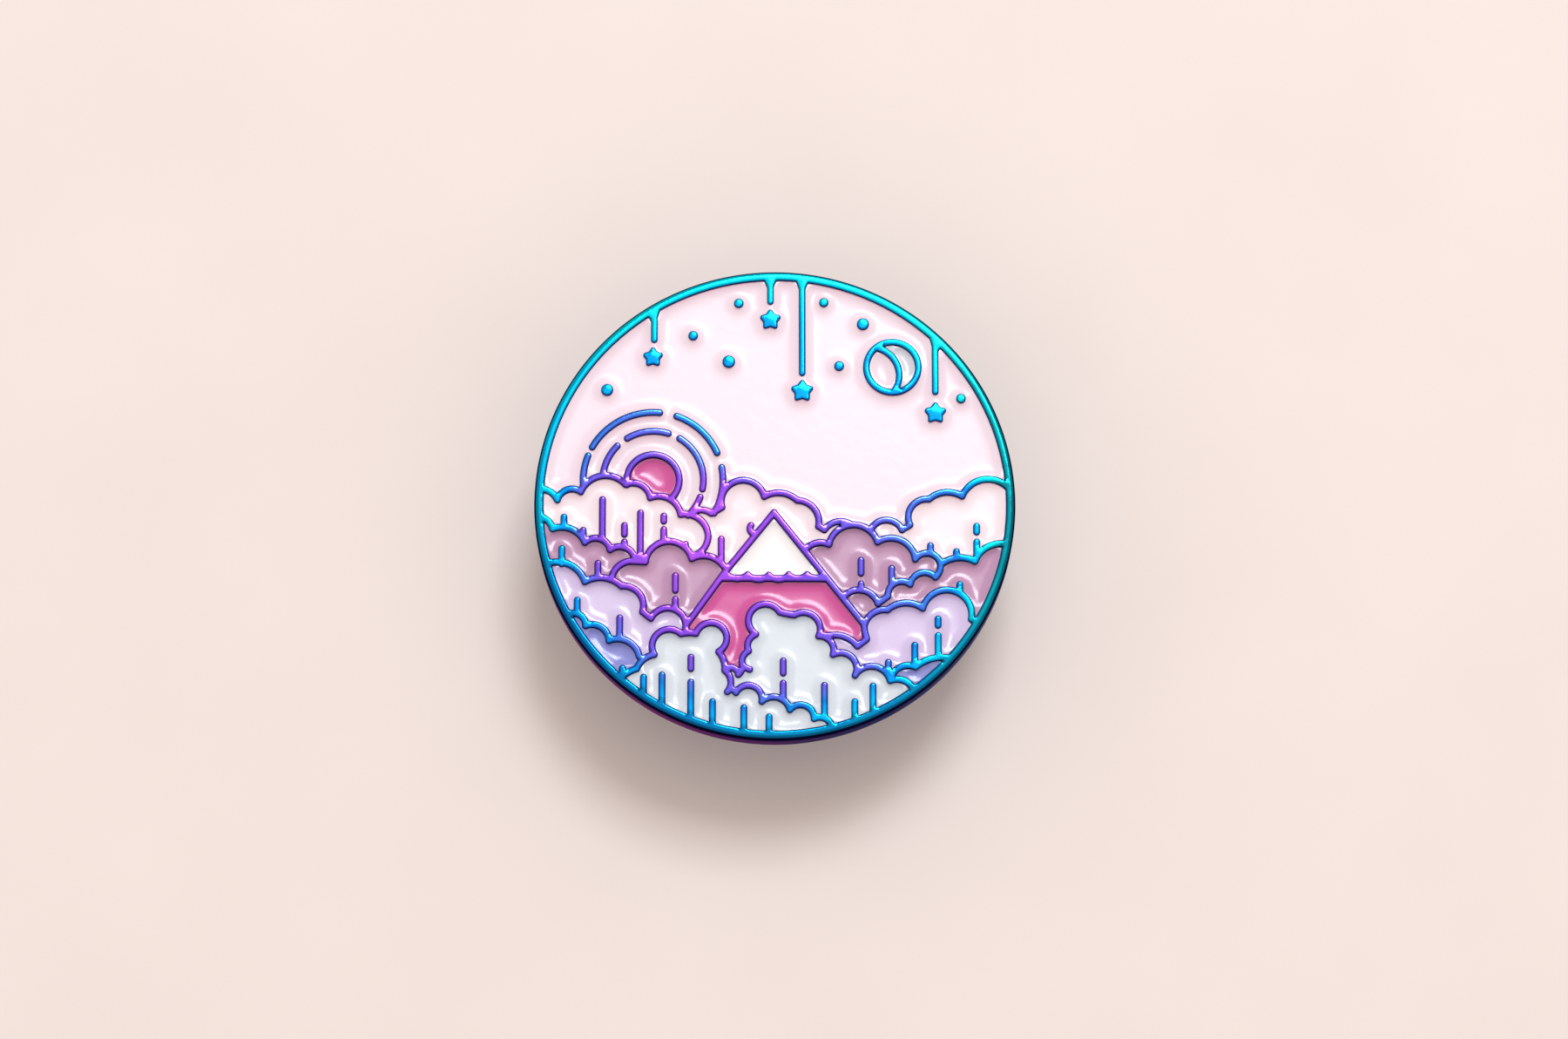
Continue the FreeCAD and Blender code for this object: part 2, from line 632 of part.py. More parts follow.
pieces = [plate] + enamel
for side, across in SIDES.items():
    pieces.append(make_post(side, across))
    pieces.append(make_disc(side, across))
    pieces.append(make_cap(side, across))
    pieces.append(make_wing(side, "rear", across, 0.0))
    pieces.append(make_wing(side, "front", across, 180.0))

# ---------------------------------------------------------------------------------------------------------
# Check everything, then write one file to a piece
# ---------------------------------------------------------------------------------------------------------

doc.recompute()
for obj in doc.Objects:
    assert not {"Invalid", "Error"} & set(obj.State), f"{obj.Name} failed: {obj.State}"
for piece in pieces:
    shape = piece.Shape
    assert not shape.isNull() and shape.isValid() and shape.Solids, f"{piece.Label} has no sound solid"
os.makedirs("parts", exist_ok=True)
for piece in pieces:
    piece.Shape.exportStep(f"parts/{piece.Label}.step")
    box = piece.Shape.optimalBoundingBox()
    print(f"{piece.Label:28s} solids {len(piece.Shape.Solids)}  volume {piece.Shape.Volume:9.3f}  "
          f"x {box.XMin:7.2f} {box.XMax:7.2f}  y {box.YMin:7.2f} {box.YMax:7.2f}  "
          f"z {box.ZMin:6.2f} {box.ZMax:6.2f}")
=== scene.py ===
import json
import logging
import math
from collections.abc import Iterator
from contextlib import contextmanager
from dataclasses import dataclass
from enum import Enum

import bmesh
import bpy
import numpy as np
from mathutils import Matrix, Vector, geometry


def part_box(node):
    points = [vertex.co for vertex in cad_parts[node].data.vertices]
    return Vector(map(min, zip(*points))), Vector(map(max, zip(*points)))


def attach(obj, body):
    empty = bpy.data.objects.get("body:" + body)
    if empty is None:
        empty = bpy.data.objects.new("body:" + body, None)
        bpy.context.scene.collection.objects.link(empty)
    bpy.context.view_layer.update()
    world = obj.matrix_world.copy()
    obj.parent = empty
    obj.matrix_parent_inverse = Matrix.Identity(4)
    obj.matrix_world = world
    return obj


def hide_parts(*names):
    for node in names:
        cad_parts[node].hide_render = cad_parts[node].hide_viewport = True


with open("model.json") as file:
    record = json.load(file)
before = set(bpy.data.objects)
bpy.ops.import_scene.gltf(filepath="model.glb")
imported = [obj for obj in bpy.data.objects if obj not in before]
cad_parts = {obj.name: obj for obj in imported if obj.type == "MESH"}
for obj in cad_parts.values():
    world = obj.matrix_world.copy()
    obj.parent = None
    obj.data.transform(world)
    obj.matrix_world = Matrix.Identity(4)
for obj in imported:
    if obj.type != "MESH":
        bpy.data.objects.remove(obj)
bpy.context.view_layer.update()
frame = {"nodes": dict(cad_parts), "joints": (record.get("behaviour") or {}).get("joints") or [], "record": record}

# Round enamel pin. Everything is in metres, in the frame of the CAD model: +Z is the way the picture faces,
# +Y its top, and the pin stands on z = 0 on the backs of its two clutches.

MM = 0.001
LOG = logging.getLogger("enamel_pin")
ROOT = "pin_plate"


# ---------------------------------------------------------------------------------------------------------
# Mesh helpers
# ---------------------------------------------------------------------------------------------------------

def new_piece(name: str, points: np.ndarray, faces: list, crease: float = 50.0) -> bpy.types.Object:
    """Make an object of points and faces, merge its doubles and shade it smooth up to a crease angle.

    Args:
        name: the object's name.
        points: places of the vertices, one row each, in metres.
        faces: tuples of vertex numbers.
        crease: edges that turn more than this many degrees stay sharp.

    Returns:
        The new object, linked to the scene.
    """
    mesh = bpy.data.meshes.new(name)
    mesh.from_pydata(points.tolist(), [], faces)
    piece = bpy.data.objects.new(name, mesh)
    bpy.context.scene.collection.objects.link(piece)
    merge_doubles(mesh)
    mesh.shade_smooth()
    mesh.set_sharp_from_angle(angle=math.radians(crease))
    return piece


@contextmanager
def reworked(mesh: bpy.types.Mesh) -> Iterator[bmesh.types.BMesh]:
    """Open a mesh for rework, and write it back afterwards."""
    work = bmesh.new()
    work.from_mesh(mesh)
    yield work
    work.to_mesh(mesh)
    work.free()


def merge_doubles(mesh: bpy.types.Mesh, reach: float = 0.0005 * MM) -> None:
    """Join the vertices of a mesh that stand within reach of each other."""
    with reworked(mesh) as work:
        bmesh.ops.remove_doubles(work, verts=work.verts, dist=reach)


def outward(mesh: bpy.types.Mesh) -> None:
    """Turn the faces of a closed mesh outwards."""
    with reworked(mesh) as work:
        bmesh.ops.recalc_face_normals(work, faces=work.faces)


def read_rows(vertices: bpy.types.bpy_prop_collection, field: str) -> np.ndarray:
    """Read a field of three numbers, such as the place, of every vertex.

    Args:
        vertices: a mesh's vertices or its vertex normals.
        field: the name of what is read.

    Returns:
        An array with one row of three for each vertex.
    """
    flat = np.empty(len(vertices) * 3)
    vertices.foreach_get(field, flat)
    return flat.reshape(-1, 3)


def store(mesh: bpy.types.Mesh, name: str, values: np.ndarray) -> None:
    """Keep one number for each vertex of a mesh under a name, for a material to read."""
    mesh.attributes.new(name, "FLOAT", "POINT").data.foreach_set("value", values)


def grid_faces(rows: int, columns: int, round_columns: bool = True, round_rows: bool = False) -> np.ndarray:
    """Number the four-cornered faces of a grid of vertices that is stored row by row.

    Args:
        rows: how many rows of vertices.
        columns: how many vertices in a row.
        round_columns: whether the last column joins the first.
        round_rows: whether the last row joins the first.

    Returns:
        An array of faces, four vertex numbers each.
    """
    row, column = np.meshgrid(
        np.arange(rows if round_rows else rows - 1), np.arange(columns if round_columns else columns - 1),
        indexing="ij")
    row_next = (row + 1) % rows
    column_next = (column + 1) % columns
    corners = (row * columns + column, row * columns + column_next,
               row_next * columns + column_next, row_next * columns + column)
    return np.stack([corner.ravel() for corner in corners], axis=1)


def rounded_path(corners: np.ndarray, radii: list, steps: int = 8) -> np.ndarray:
    """Round the inner corners of a path: each corner becomes an arc that touches both of its sides.

    Args:
        corners: the path's points, two columns.
        radii: one radius for each point; the first and last are not used.
        steps: how many points an arc has, less one.

    Returns:
        The points of the rounded path.
    """
    points = [corners[:1]]
    straight = math.pi / 2 - 1e-3
    for before, corner, after, radius in zip(corners, corners[1:], corners[2:], radii[1:]):
        towards = (before - corner) / np.linalg.norm(before - corner)
        away = (after - corner) / np.linalg.norm(after - corner)
        half = math.acos(np.clip(towards @ away, -1, 1)) / 2
        if radius <= 0 or half > straight:
            points.append(corner[None])
            continue
        centre = corner + (towards + away) / np.linalg.norm(towards + away) * radius / math.sin(half)
        first = corner + towards * radius / math.tan(half) - centre
        last = corner + away * radius / math.tan(half) - centre
        share = np.linspace(0, 1, steps + 1)[:, None]
        sweep = math.pi - 2 * half
        arc = (np.sin((1 - share) * sweep) * first + np.sin(share * sweep) * last) / math.sin(sweep)
        points.append(centre + arc)
    points.append(corners[-1:])
    return np.concatenate(points)


def full_turn(count: int) -> np.ndarray:
    """Divide a full turn into equal angles, from 0 up."""
    return np.arange(count) * 2 * math.pi / count


def turned(profile: np.ndarray, segments: int, centre: tuple = (0.0, 0.0)) -> np.ndarray:
    """Turn a profile about an upright axis.

    A point stands at (radius cos a, radius sin a, height) from the axis, where a runs once round and radius
    and height run along the profile.

    Args:
        profile: radius and height of each point, in metres.
        segments: how many steps there are round the axis.
        centre: x and y of the axis.

    Returns:
        The points, one after the other round each circle.
    """
    turn = full_turn(segments)
    radius, height = profile[:, :1], profile[:, 1:]
    return np.stack([
        centre[0] + radius * np.cos(turn), centre[1] + radius * np.sin(turn),
        np.broadcast_to(height, (len(profile), segments))], axis=2).reshape(-1, 3)


def lathe(name: str, profile: np.ndarray, centre: tuple, segments: int, ring: bool = True,
          crease: float = 40.0) -> bpy.types.Object:
    """Make an object that is turned about an upright axis.

    Args:
        name: the object's name.
        profile: radius and height of each point, in metres. It runs up the outside, so that the faces
            point outwards.
        centre: x and y of the axis.
        segments: how many steps there are round the axis.
        ring: whether the profile closes on itself, as round a hole; if not, its ends are on the axis.
        crease: edges that turn more than this many degrees stay sharp.

    Returns:
        The turned object.
    """
    points = turned(profile, segments, centre)
    faces = grid_faces(len(profile), segments, round_rows=ring)
    return new_piece(name, points, [tuple(face) for face in faces.tolist()], crease)


def softened_copy(name: str, node: str, width: float, segments: int = 3) -> bpy.types.Object:
    """Copy a CAD node, join its loose triangles into whole faces and round its edges.

    Args:
        name: the copy's name.
        node: the CAD node.
        width: how far the rounding reaches from each edge, in metres.
        segments: how many faces a rounding has.

    Returns:
        The softened object.
    """
    flat_angle, edge_angle, crease = math.radians(1), math.radians(35), math.radians(40)
    mesh = frame["nodes"][node].data.copy()
    mesh.name = name
    merge_doubles(mesh, 0.001 * MM)
    with reworked(mesh) as work:
        bmesh.ops.dissolve_limit(work, angle_limit=flat_angle, verts=work.verts, edges=work.edges)
    rough = bpy.data.objects.new(f"{name}_rough", mesh)
    bpy.context.scene.collection.objects.link(rough)
    bevel = rough.modifiers.new("soft_edges", "BEVEL")
    bevel.limit_method = "ANGLE"
    bevel.angle_limit = edge_angle
    bevel.width = width
    bevel.segments = segments
    graph = bpy.context.evaluated_depsgraph_get()
    soft = bpy.data.meshes.new_from_object(rough.evaluated_get(graph))
    bpy.data.objects.remove(rough)
    soft.materials.clear()
    piece = bpy.data.objects.new(name, soft)
    bpy.context.scene.collection.objects.link(piece)
    soft.shade_smooth()
    soft.set_sharp_from_angle(angle=crease)
    return piece


def dress(piece: bpy.types.Object, body: str, node: str, material: bpy.types.Material) -> None:
    """Put a piece on its body, in place of its CAD node, and give it its finish.

    Args:
        piece: the finished piece.
        body: the body that it rides on.
        node: the CAD node that it replaces.
        material: its finish.
    """
    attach(piece, body)
    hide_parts(node)
    piece.data.materials.append(material)


# ---------------------------------------------------------------------------------------------------------
# Shader helpers
# ---------------------------------------------------------------------------------------------------------

class Value:
    """A number that varies over the surface: a node's output, with the operators of arithmetic."""

    def __init__(self, recipe: "Recipe", socket: bpy.types.NodeSocket) -> None:
        """Keep the recipe that the socket belongs to."""
        self.recipe = recipe
        self.socket = socket

    def __add__(self, other: "Value | float") -> "Value":
        """Add."""
        return self.recipe.maths("ADD", self, other)

    __radd__ = __add__

    def __sub__(self, other: "Value | float") -> "Value":
        """Take away."""
        return self.recipe.maths("SUBTRACT", self, other)

    def __rsub__(self, other: float) -> "Value":
        """Take this value away from a number."""
        return self.recipe.maths("SUBTRACT", other, self)

    def __mul__(self, other: "Value | float") -> "Value":
        """Multiply."""
        return self.recipe.maths("MULTIPLY", self, other)

    __rmul__ = __mul__

    def __truediv__(self, other: "Value | float") -> "Value":
        """Divide."""
        return self.recipe.maths("DIVIDE", self, other)

    def __pow__(self, other: float) -> "Value":
        """Raise to a power."""
        return self.recipe.maths("POWER", self, other)

    def exp(self) -> "Value":
        """Raise e to this value."""
        return self.recipe.maths("EXPONENT", self)

    def smooth(self, start: float, end: float) -> "Value":
        """Rise smoothly as this value goes from start to end, where start may be the higher of the two.

        Args:
            start: where the result is 0.
            end: where the result is 1.

        Returns:
            A value from 0 to 1.
        """
        low, high = min(start, end), max(start, end)
        ends = (0.0, 1.0) if start < end else (1.0, 0.0)
        node = self.recipe.node("ShaderNodeMapRange", {"interpolation_type": "SMOOTHSTEP"}, {
            "Value": self, "From Min": low, "From Max": high, "To Min": ends[0], "To Max": ends[1]})
        return Value(self.recipe, node.outputs["Result"])

    def blend(self, low: "Value | float", high: "Value | float") -> "Value":
        """Go from low, where this value is 0, to high, where it is 1."""
        return self * (high - low) + low


class Recipe:
    """A material under construction, with one method that makes any node."""

    def __init__(self, name: str) -> None:
        """Start a material with a bare Principled shader.

        Args:
            name: the material's name.
        """
        self.material = bpy.data.materials.new(name)
        self.material.use_nodes = True
        self.tree = self.material.node_tree
        self.tree.nodes.clear()
        self.shader = self.node("ShaderNodeBsdfPrincipled", {}, {})
        output = self.node("ShaderNodeOutputMaterial", {}, {})
        self.tree.links.new(self.shader.outputs["BSDF"], output.inputs["Surface"])

    def node(self, kind: str, settings: dict, sockets: dict) -> bpy.types.Node:
        """Add a node.

        Args:
            kind: the node's type.
            settings: properties that are set first.
            sockets: input names or numbers, with a number, a colour, a socket or a Value for each.

        Returns:
            The node.
        """
        node = self.tree.nodes.new(kind)
        for key, setting in settings.items():
            setattr(node, key, setting)
        for key, given in sockets.items():
            given = given.socket if isinstance(given, Value) else given
            if isinstance(given, bpy.types.NodeSocket):
                self.tree.links.new(given, node.inputs[key])
            else:
                node.inputs[key].default_value = given
        return node

    def maths(self, operation: str, *values: "Value | float") -> Value:
        """Work out one operation on numbers."""
        node = self.node("ShaderNodeMath", {"operation": operation}, dict(enumerate(values)))
        return Value(self, node.outputs[0])

    def place(self) -> tuple:
        """Find the surface's place.

        Returns:
            Its x, y and z, in millimetres of the object's frame.
        """
        source = self.node("ShaderNodeTexCoord", {}, {})
        split = self.node("ShaderNodeSeparateXYZ", {}, {0: source.outputs["Object"]})
        return tuple(Value(self, split.outputs[axis]) / MM for axis in "XYZ")

    def noise(self, size_mm: float, detail: float = 2.0, stretch: tuple = (1, 1, 1)) -> Value:
        """Give a smooth noise.

        Args:
            size_mm: how far across a lump is, in millimetres.
            detail: how much finer noise is laid over it.
            stretch: how far the lumps are drawn out along x, y and z.

        Returns:
            A value from 0 to 1.
        """
        source = self.node("ShaderNodeTexCoord", {}, {})
        scale = tuple(1 / (MM * size_mm * pull) for pull in stretch)
        mapping = self.node("ShaderNodeMapping", {}, {"Vector": source.outputs["Object"], "Scale": scale})
        node = self.node("ShaderNodeTexNoise", {}, {
            "Vector": mapping.outputs["Vector"], "Scale": 1.0, "Detail": detail})
        return Value(self, node.outputs[0])

    def attribute(self, name: str) -> Value:
        """Read a number that the mesh holds at its vertices."""
        node = self.node("ShaderNodeAttribute", {"attribute_name": name}, {})
        return Value(self, node.outputs["Fac"])

    def colour(self, share: Value, first: tuple, second: tuple) -> bpy.types.NodeSocket:
        """Mix two colours or colour sockets."""
        node = self.node("ShaderNodeMix", {"data_type": "RGBA"}, {0: share, 6: first, 7: second})
        return node.outputs[2]

    def ramp(self, share: Value, stops: list) -> bpy.types.NodeSocket:
        """Pick a colour from a run of colours.

        Args:
            share: where along the run, from 0 to 1.
            stops: the run, as places in rising order, each with its colour.

        Returns:
            The colour's socket.
        """
        node = self.node("ShaderNodeValToRGB", {}, {0: share})
        elements = node.color_ramp.elements
        for place, _ in stops[2:]:
            elements.new(place)
        for element, (place, hue) in zip(elements, stops):
            element.position = place
            element.color = hue
        return node.outputs["Color"]

    def bump(self, height: Value, depth_mm: float) -> None:
        """Bump the surface.

        Args:
            height: the relief, from 0 to 1.
            depth_mm: how high it stands where it is 1, in millimetres.
        """
        node = self.node("ShaderNodeBump", {}, {
            "Height": height, "Distance": depth_mm * MM, "Strength": 1.0})
        self.tree.links.new(node.outputs["Normal"], self.shader.inputs["Normal"])

    def set(self, **sockets: object) -> None:
        """Set sockets of the shader.

        Args:
            sockets: a number, a colour, a socket or a Value for each socket, whose name has underscores for
                its spaces.
        """
        for key, given in sockets.items():
            name = key.replace("_", " ")
            given = given.socket if isinstance(given, Value) else given
            if isinstance(given, bpy.types.NodeSocket):
                self.tree.links.new(given, self.shader.inputs[name])
            else:
                self.shader.inputs[name].default_value = given


def tint(code: str) -> tuple:
    """Turn a screen colour into a linear one.

    Args:
        code: two figures of base sixteen each for red, green and blue.

    Returns:
        Red, green, blue and full alpha.
    """
    shares = [int(code[start:start + 2], 16) / 255 for start in (0, 2, 4)]
    linear = [share / 12.92 if share <= 0.04045 else ((share + 0.055) / 1.055) ** 2.4 for share in shares]
    return (*linear, 1.0)


# ---------------------------------------------------------------------------------------------------------
# Finishes
# ---------------------------------------------------------------------------------------------------------

@dataclass(frozen=True)
class RainbowPlating:
    """Polished rainbow-anodised metal, teal at the rim, blue in the sky and violet in the clouds.

    The run holds the colours that the anodising goes through, and a shade is a place along it. Places are
    in millimetres and spreads in square millimetres.
    """

    run: tuple = ((0.0, "0E747C"), (0.12, "0EB8C6"), (0.23, "0AA4D6"), (0.34, "0C8AD6"), (0.45, "1268BC"),
                  (0.54, "3C62C4"), (0.63, "5450C4"), (0.75, "6A40BC"), (1.0, "8F46CC"))
    # painted shade: the dark navy that the raised lines' walls and shoulders take
    wall: str = "180A70"
    # painted shade: near-black band on the rim's outer rounding, above the plated side
    brow_shade: str = "060A1E"
    # painted shade: dark blue laid over the lower part of the rim
    low_rim_shade: str = "07405F"
    side_left: str = "8E3A80"
    side_right: str = "1A3E60"
    reflected: tuple = (0.4, 0.35, 0.6, 1.0)
    roughness: float = 0.1
    wall_roughness: float = 0.36
    sky_shade: float = 0.33
    cloud_shade: float = 0.67
    rim_shade: float = 0.15
    sun: tuple = (-8.6, 1.5)
    sun_spread: float = 26.0
    heart: tuple = (-4.8, -2.6)
    heart_spread: float = 30.0
    horizon: tuple = (3.6, 0.2)
    rim_band: tuple = (12.2, 15.3)

    def shades(self) -> list:
        """List the run's places and colours."""
        return [(place, tint(code)) for place, code in self.run]

    def shade(self, x: Value, y: Value) -> Value:
        """Place the surface in the run of colours.

        The sky's lines are azure, the sun and the clouds violet, a spot left of the middle is purple, and
        everything fades towards the rim. The rim is teal on the right, cyan at the top and blue at the
        lower left.

        Args:
            x: the surface's x.
            y: the surface's y.

        Returns:
            A value from 0, which is teal, to 1, which is purple.
        """
        radius = (x * x + y * y) ** 0.5
        sky = self.sky_shade + bell(x, y, self.sun, self.sun_spread) * 0.42
        heart = bell(x, y, self.heart, self.heart_spread)
        clouds = self.cloud_shade + heart * 0.32 - x.smooth(3.0, 12.5) * 0.18
        inner = y.smooth(*self.horizon).blend(sky, clouds)
        right = x.smooth(8.0, 15.0) * 0.13
        left = x.smooth(-10.0, -15.0) * 0.06
        low = y.smooth(1.0, -9.0) * 0.12
        low_left = y.smooth(-1.0, -9.0) * x.smooth(4.0, -8.0) * 0.08
        rim = self.rim_shade - right + low + left + low_left
        return radius.smooth(*self.rim_band).blend(inner, rim)

    def build(self) -> bpy.types.Material:
        """Make the material: the run of colours on what faces up, painted shade on walls and brow, and the side.

        Returns:
            The material.
        """
        recipe = Recipe("rainbow_plating")
        low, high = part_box("plate")
        back, top, edge = low.z / MM, high.z / MM, min(high.x, high.y) / MM
        x, y, z = recipe.place()
        radius = (x * x + y * y) ** 0.5
        shade = self.shade(x, y) + (recipe.noise(1.8) - 0.5) * 0.12
        # painted shade: the rim is darkened towards the bottom of the picture
        low_rim_shade = radius.smooth(14.9, 15.4) * y.smooth(7.0, -6.0) * 0.62
        face = recipe.colour(low_rim_shade, recipe.ramp(shade, self.shades()), tint(self.low_rim_shade))
        # painted shade: what faces less upwards, the walls and shoulders of the raised lines, takes the dark wall
        # colour
        flat = recipe.attribute("facing").smooth(0.5, 0.99)
        relief = recipe.colour(flat, tint(self.wall), face)
        side = recipe.colour(x.smooth(-9.0, 8.0), tint(self.side_left), tint(self.side_right))
        # painted shade: the rim's outer rounding is near-black down to where the plated side begins
        below_brow = z.smooth(top - 0.58, top - 0.78)
        outside = z.smooth(top - 0.03, top - 0.11) * radius.smooth(edge - 0.4, edge - 0.3)
        front = recipe.colour(outside, relief, recipe.colour(below_brow, tint(self.brow_shade), side))
        under = z.smooth(back + 0.12, back + 0.02)
        behind = recipe.ramp(shade * 0.7 + 0.2, self.shades())
        recipe.set(
            Base_Color=recipe.colour(under, front, behind), Metallic=1.0, Specular_Tint=self.reflected,
            Roughness=flat.blend(self.wall_roughness, self.roughness) + recipe.noise(0.5, 3.0) * 0.07)
        recipe.bump(recipe.noise(0.35, 3.0), 0.004)
        return recipe.material


def bell(x: Value, y: Value, middle: tuple, spread: float) -> Value:
    """Give e to the power of minus the squared distance to a middle over the spread: 1 there, 0 far off."""
    across, up = x - middle[0], y - middle[1]
    return ((across * across + up * up) / -spread).exp()


@dataclass(frozen=True)
class SoftEnamel:
    """Baked soft enamel, with painted shade below its cell's upper walls and a little next to every wall."""

    slot: str
    face: str
    # painted shade: the colour that the enamel darkens to next to its walls
    shade_colour: str
    roughness: float = 0.22
    # painted shade below the walls that lie above the enamel in the picture
    upper_wall_shade: float = 0.6
    # darker next to every wall: partly thicker enamel, partly painted shade
    wall_thickness_and_shade: float = 0.12
    mottle: float = 0.14

    def build(self) -> bpy.types.Material:
        """Make the material: the face colour, mottled a little, mixed with the shade colour near the walls.

        Returns:
            The material.
        """
        recipe = Recipe(self.slot)
        # painted shade: the enamel darkens below the walls above it in the picture
        upper = recipe.attribute("upper_wall").smooth(0.2, 1.1)
        # next to every wall the enamel darkens, partly as thicker enamel and partly as painted shade
        wall = recipe.attribute("wall").smooth(0.55, 1.3)
        cloudy = recipe.noise(1.6, 3.0)
        share = upper * self.upper_wall_shade + wall * self.wall_thickness_and_shade + (cloudy - 0.5) * self.mottle
        recipe.set(
            Base_Color=recipe.colour(share, tint(self.face), tint(self.shade_colour)),
            Roughness=self.roughness + cloudy * 0.08,
            Coat_Weight=0.35, Coat_Roughness=0.1, IOR=1.5)
        recipe.bump(recipe.noise(0.9, 2.0), 0.012)
        return recipe.material


@dataclass(frozen=True)
class PlatedSheet:
    """Nickel-plated stamped sheet with faint drawing marks and soft wear."""

    name: str = "nickel_plating"
    face: str = "D2CFC8"
    worn: str = "BDB8AE"

    def build(self) -> bpy.types.Material:
        """Make the material: two tones of nickel in a fine mottle, with fine marks in the bump.

        Returns:
            The material.
        """
        recipe = Recipe(self.name)
        mottle = recipe.noise(2.4, 2.0)
        marks = recipe.noise(0.15, 2.0)
        recipe.set(
            Base_Color=recipe.colour(mottle, tint(self.face), tint(self.worn)),
            Metallic=1.0, Roughness=0.2 + mottle * 0.08)
        recipe.bump(marks, 0.003)
        return recipe.material


@dataclass(frozen=True)
class DrawnSteel:
    """Bright drawn wire, with marks round it, as on a pin's post."""

    face: str = "B8B8BC"
    groove: str = "8E8E94"

    def build(self) -> bpy.types.Material:
        """Make the material: an even steel with turning marks.

        Returns:
            The material.
        """
        recipe = Recipe("drawn_steel")
        marks = recipe.noise(0.1, 3.0, stretch=(12, 12, 1))
        recipe.set(
            Base_Color=recipe.colour(marks, tint(self.face), tint(self.groove)),
            Metallic=1.0, Roughness=0.22 + marks * 0.14)
        recipe.bump(marks, 0.003)
        return recipe.material


@dataclass(frozen=True)
class PaleTable:
    """Plain pale matt tabletop."""

    face: str = "DFD5D1"
    mottle: str = "D8CDC9"

    def build(self) -> bpy.types.Material:
        """Make the material: one warm grey with a very faint mottle.

        Returns:
            The material.
        """
        recipe = Recipe("pale_table")
        recipe.set(
            Base_Color=recipe.colour(recipe.noise(18.0, 4.0), tint(self.face), tint(self.mottle)),
            Roughness=0.75, Specular_IOR_Level=0.2)
        return recipe.material


class EnamelTint(Enum):
    """The enamels of the pin, each with its slot, its face colour and the colour of its painted shade."""

    SKY = ("enamel_sky_pink", "E1CFDB", "D2AABA")
    MAGENTA = ("enamel_magenta", "C24890", "862866")
    MOON = ("enamel_moon_silver", "C6C6D0", "86868F")
    CLOUD = ("enamel_cloud_white", "E5D6DE", "D0ACB7")
    SNOW = ("enamel_snow_white", "EAE6E8", "C0B2C0")
    MAUVE = ("enamel_mauve", "B086A8", "683C62")
    LILAC = ("enamel_lilac", "C6B6DA", "826CA4")
    SLATE = ("enamel_slate", "7E82C8", "363C84")
    GREY = ("enamel_grey", "C8D0DA", "8690A2")


# ---------------------------------------------------------------------------------------------------------
# The die-struck face: cells, raised lines and pools, all from the outlines of the CAD enamel
# ---------------------------------------------------------------------------------------------------------

def top_outline(node: str) -> list:
    """Read the closed loops round the upper face of a CAD node.

    Args:
        node: a flat-topped CAD node.

    Returns:
        A list of arrays of x and y, each loop with the face on its left.
    """
    mesh = frame["nodes"][node].data
    points = read_rows(mesh.vertices, "co")
    corners = np.empty(len(mesh.loops), int)
    mesh.loops.foreach_get("vertex_index", corners)
    triangles = corners.reshape(-1, 3)
    upper = points[:, 2].max() - 0.001 * MM
    triangles = triangles[(points[triangles, 2] > upper).all(axis=1)]
    grain = 0.0005 * MM
    keys, number = np.unique(np.round(points[:, :2] / grain).astype(int), axis=0, return_inverse=True)
    number = number.ravel()
    places = np.zeros((len(keys), 2))
    places[number] = points[:, :2]
    triangles = number[triangles]
    edges = np.concatenate([triangles[:, [0, 1]], triangles[:, [1, 2]], triangles[:, [2, 0]]])
    codes = edges[:, 0] * len(keys) + edges[:, 1]
    back = edges[:, 1] * len(keys) + edges[:, 0]
    border = edges[~np.isin(codes, back)]
    following = dict(border[border[:, 0] != border[:, 1]].tolist())
    loops = []
    while following:
        start = next(iter(following))
        loop = [start]
        spot = following.pop(start)
        while spot != start:
            loop.append(spot)
            spot = following.pop(spot)
        loops.append(places[loop])
    return loops


def even_steps(loop: np.ndarray, step: float) -> np.ndarray:
    """Divide the long sides of a loop into equal steps, and keep its corners.

    Args:
        loop: its x and y.
        step: about how long a step is.

    Returns:
        The x and y of the finer loop.
    """
    following = np.roll(loop, -1, axis=0)
    counts = np.maximum(1, np.round(np.linalg.norm(following - loop, axis=1) / step)).astype(int)
    index = np.repeat(np.arange(len(loop)), counts)
    first = np.concatenate([[0], np.cumsum(counts)[:-1]])
    share = ((np.arange(len(index)) - first[index]) / counts[index])[:, None]
    return loop[index] * (1 - share) + following[index] * share


def leftward(loop: np.ndarray) -> np.ndarray:
    """Find the way to the left of a loop: a quarter turn from the mean of the sides before and after.

    Args:
        loop: its x and y.

    Returns:
        A unit direction for each point.
    """
    ahead = np.roll(loop, -1, axis=0) - loop
    ahead /= np.linalg.norm(ahead, axis=1)[:, None]
    mean = ahead + np.roll(ahead, 1, axis=0)
    mean /= np.maximum(np.linalg.norm(mean, axis=1), 1e-9)[:, None]
    return np.stack([-mean[:, 1], mean[:, 0]], axis=1)


def sides(loops: list) -> tuple:
    """List where the sides of the loops start and where they end."""
    return np.concatenate(loops), np.concatenate([np.roll(loop, -1, axis=0) for loop in loops])


def tiles(points: np.ndarray, starts: np.ndarray, ends: np.ndarray, reach: float) -> Iterator[tuple]:
    """Sort points into square tiles, each with the short sides of walls that come within reach of it.

    Args:
        points: places to sort.
        starts: where the walls' sides start.
        ends: where they end.
        reach: how near a side has to be.

    Yields:
        The numbers of a tile's points, and those of its sides.
    """
    width = 1.6 * MM
    keys, number = np.unique(np.floor(points / width).astype(int), axis=0, return_inverse=True)
    order = np.argsort(number.ravel(), kind="stable")
    groups = np.split(order, np.cumsum(np.bincount(number.ravel()))[:-1])
    low, high = np.minimum(starts, ends), np.maximum(starts, ends)
    for key, group in zip(keys, groups):
        near = (high > key * width - reach) & (low < (key + 1) * width + reach)
        yield group, np.nonzero(near.all(axis=1))[0]


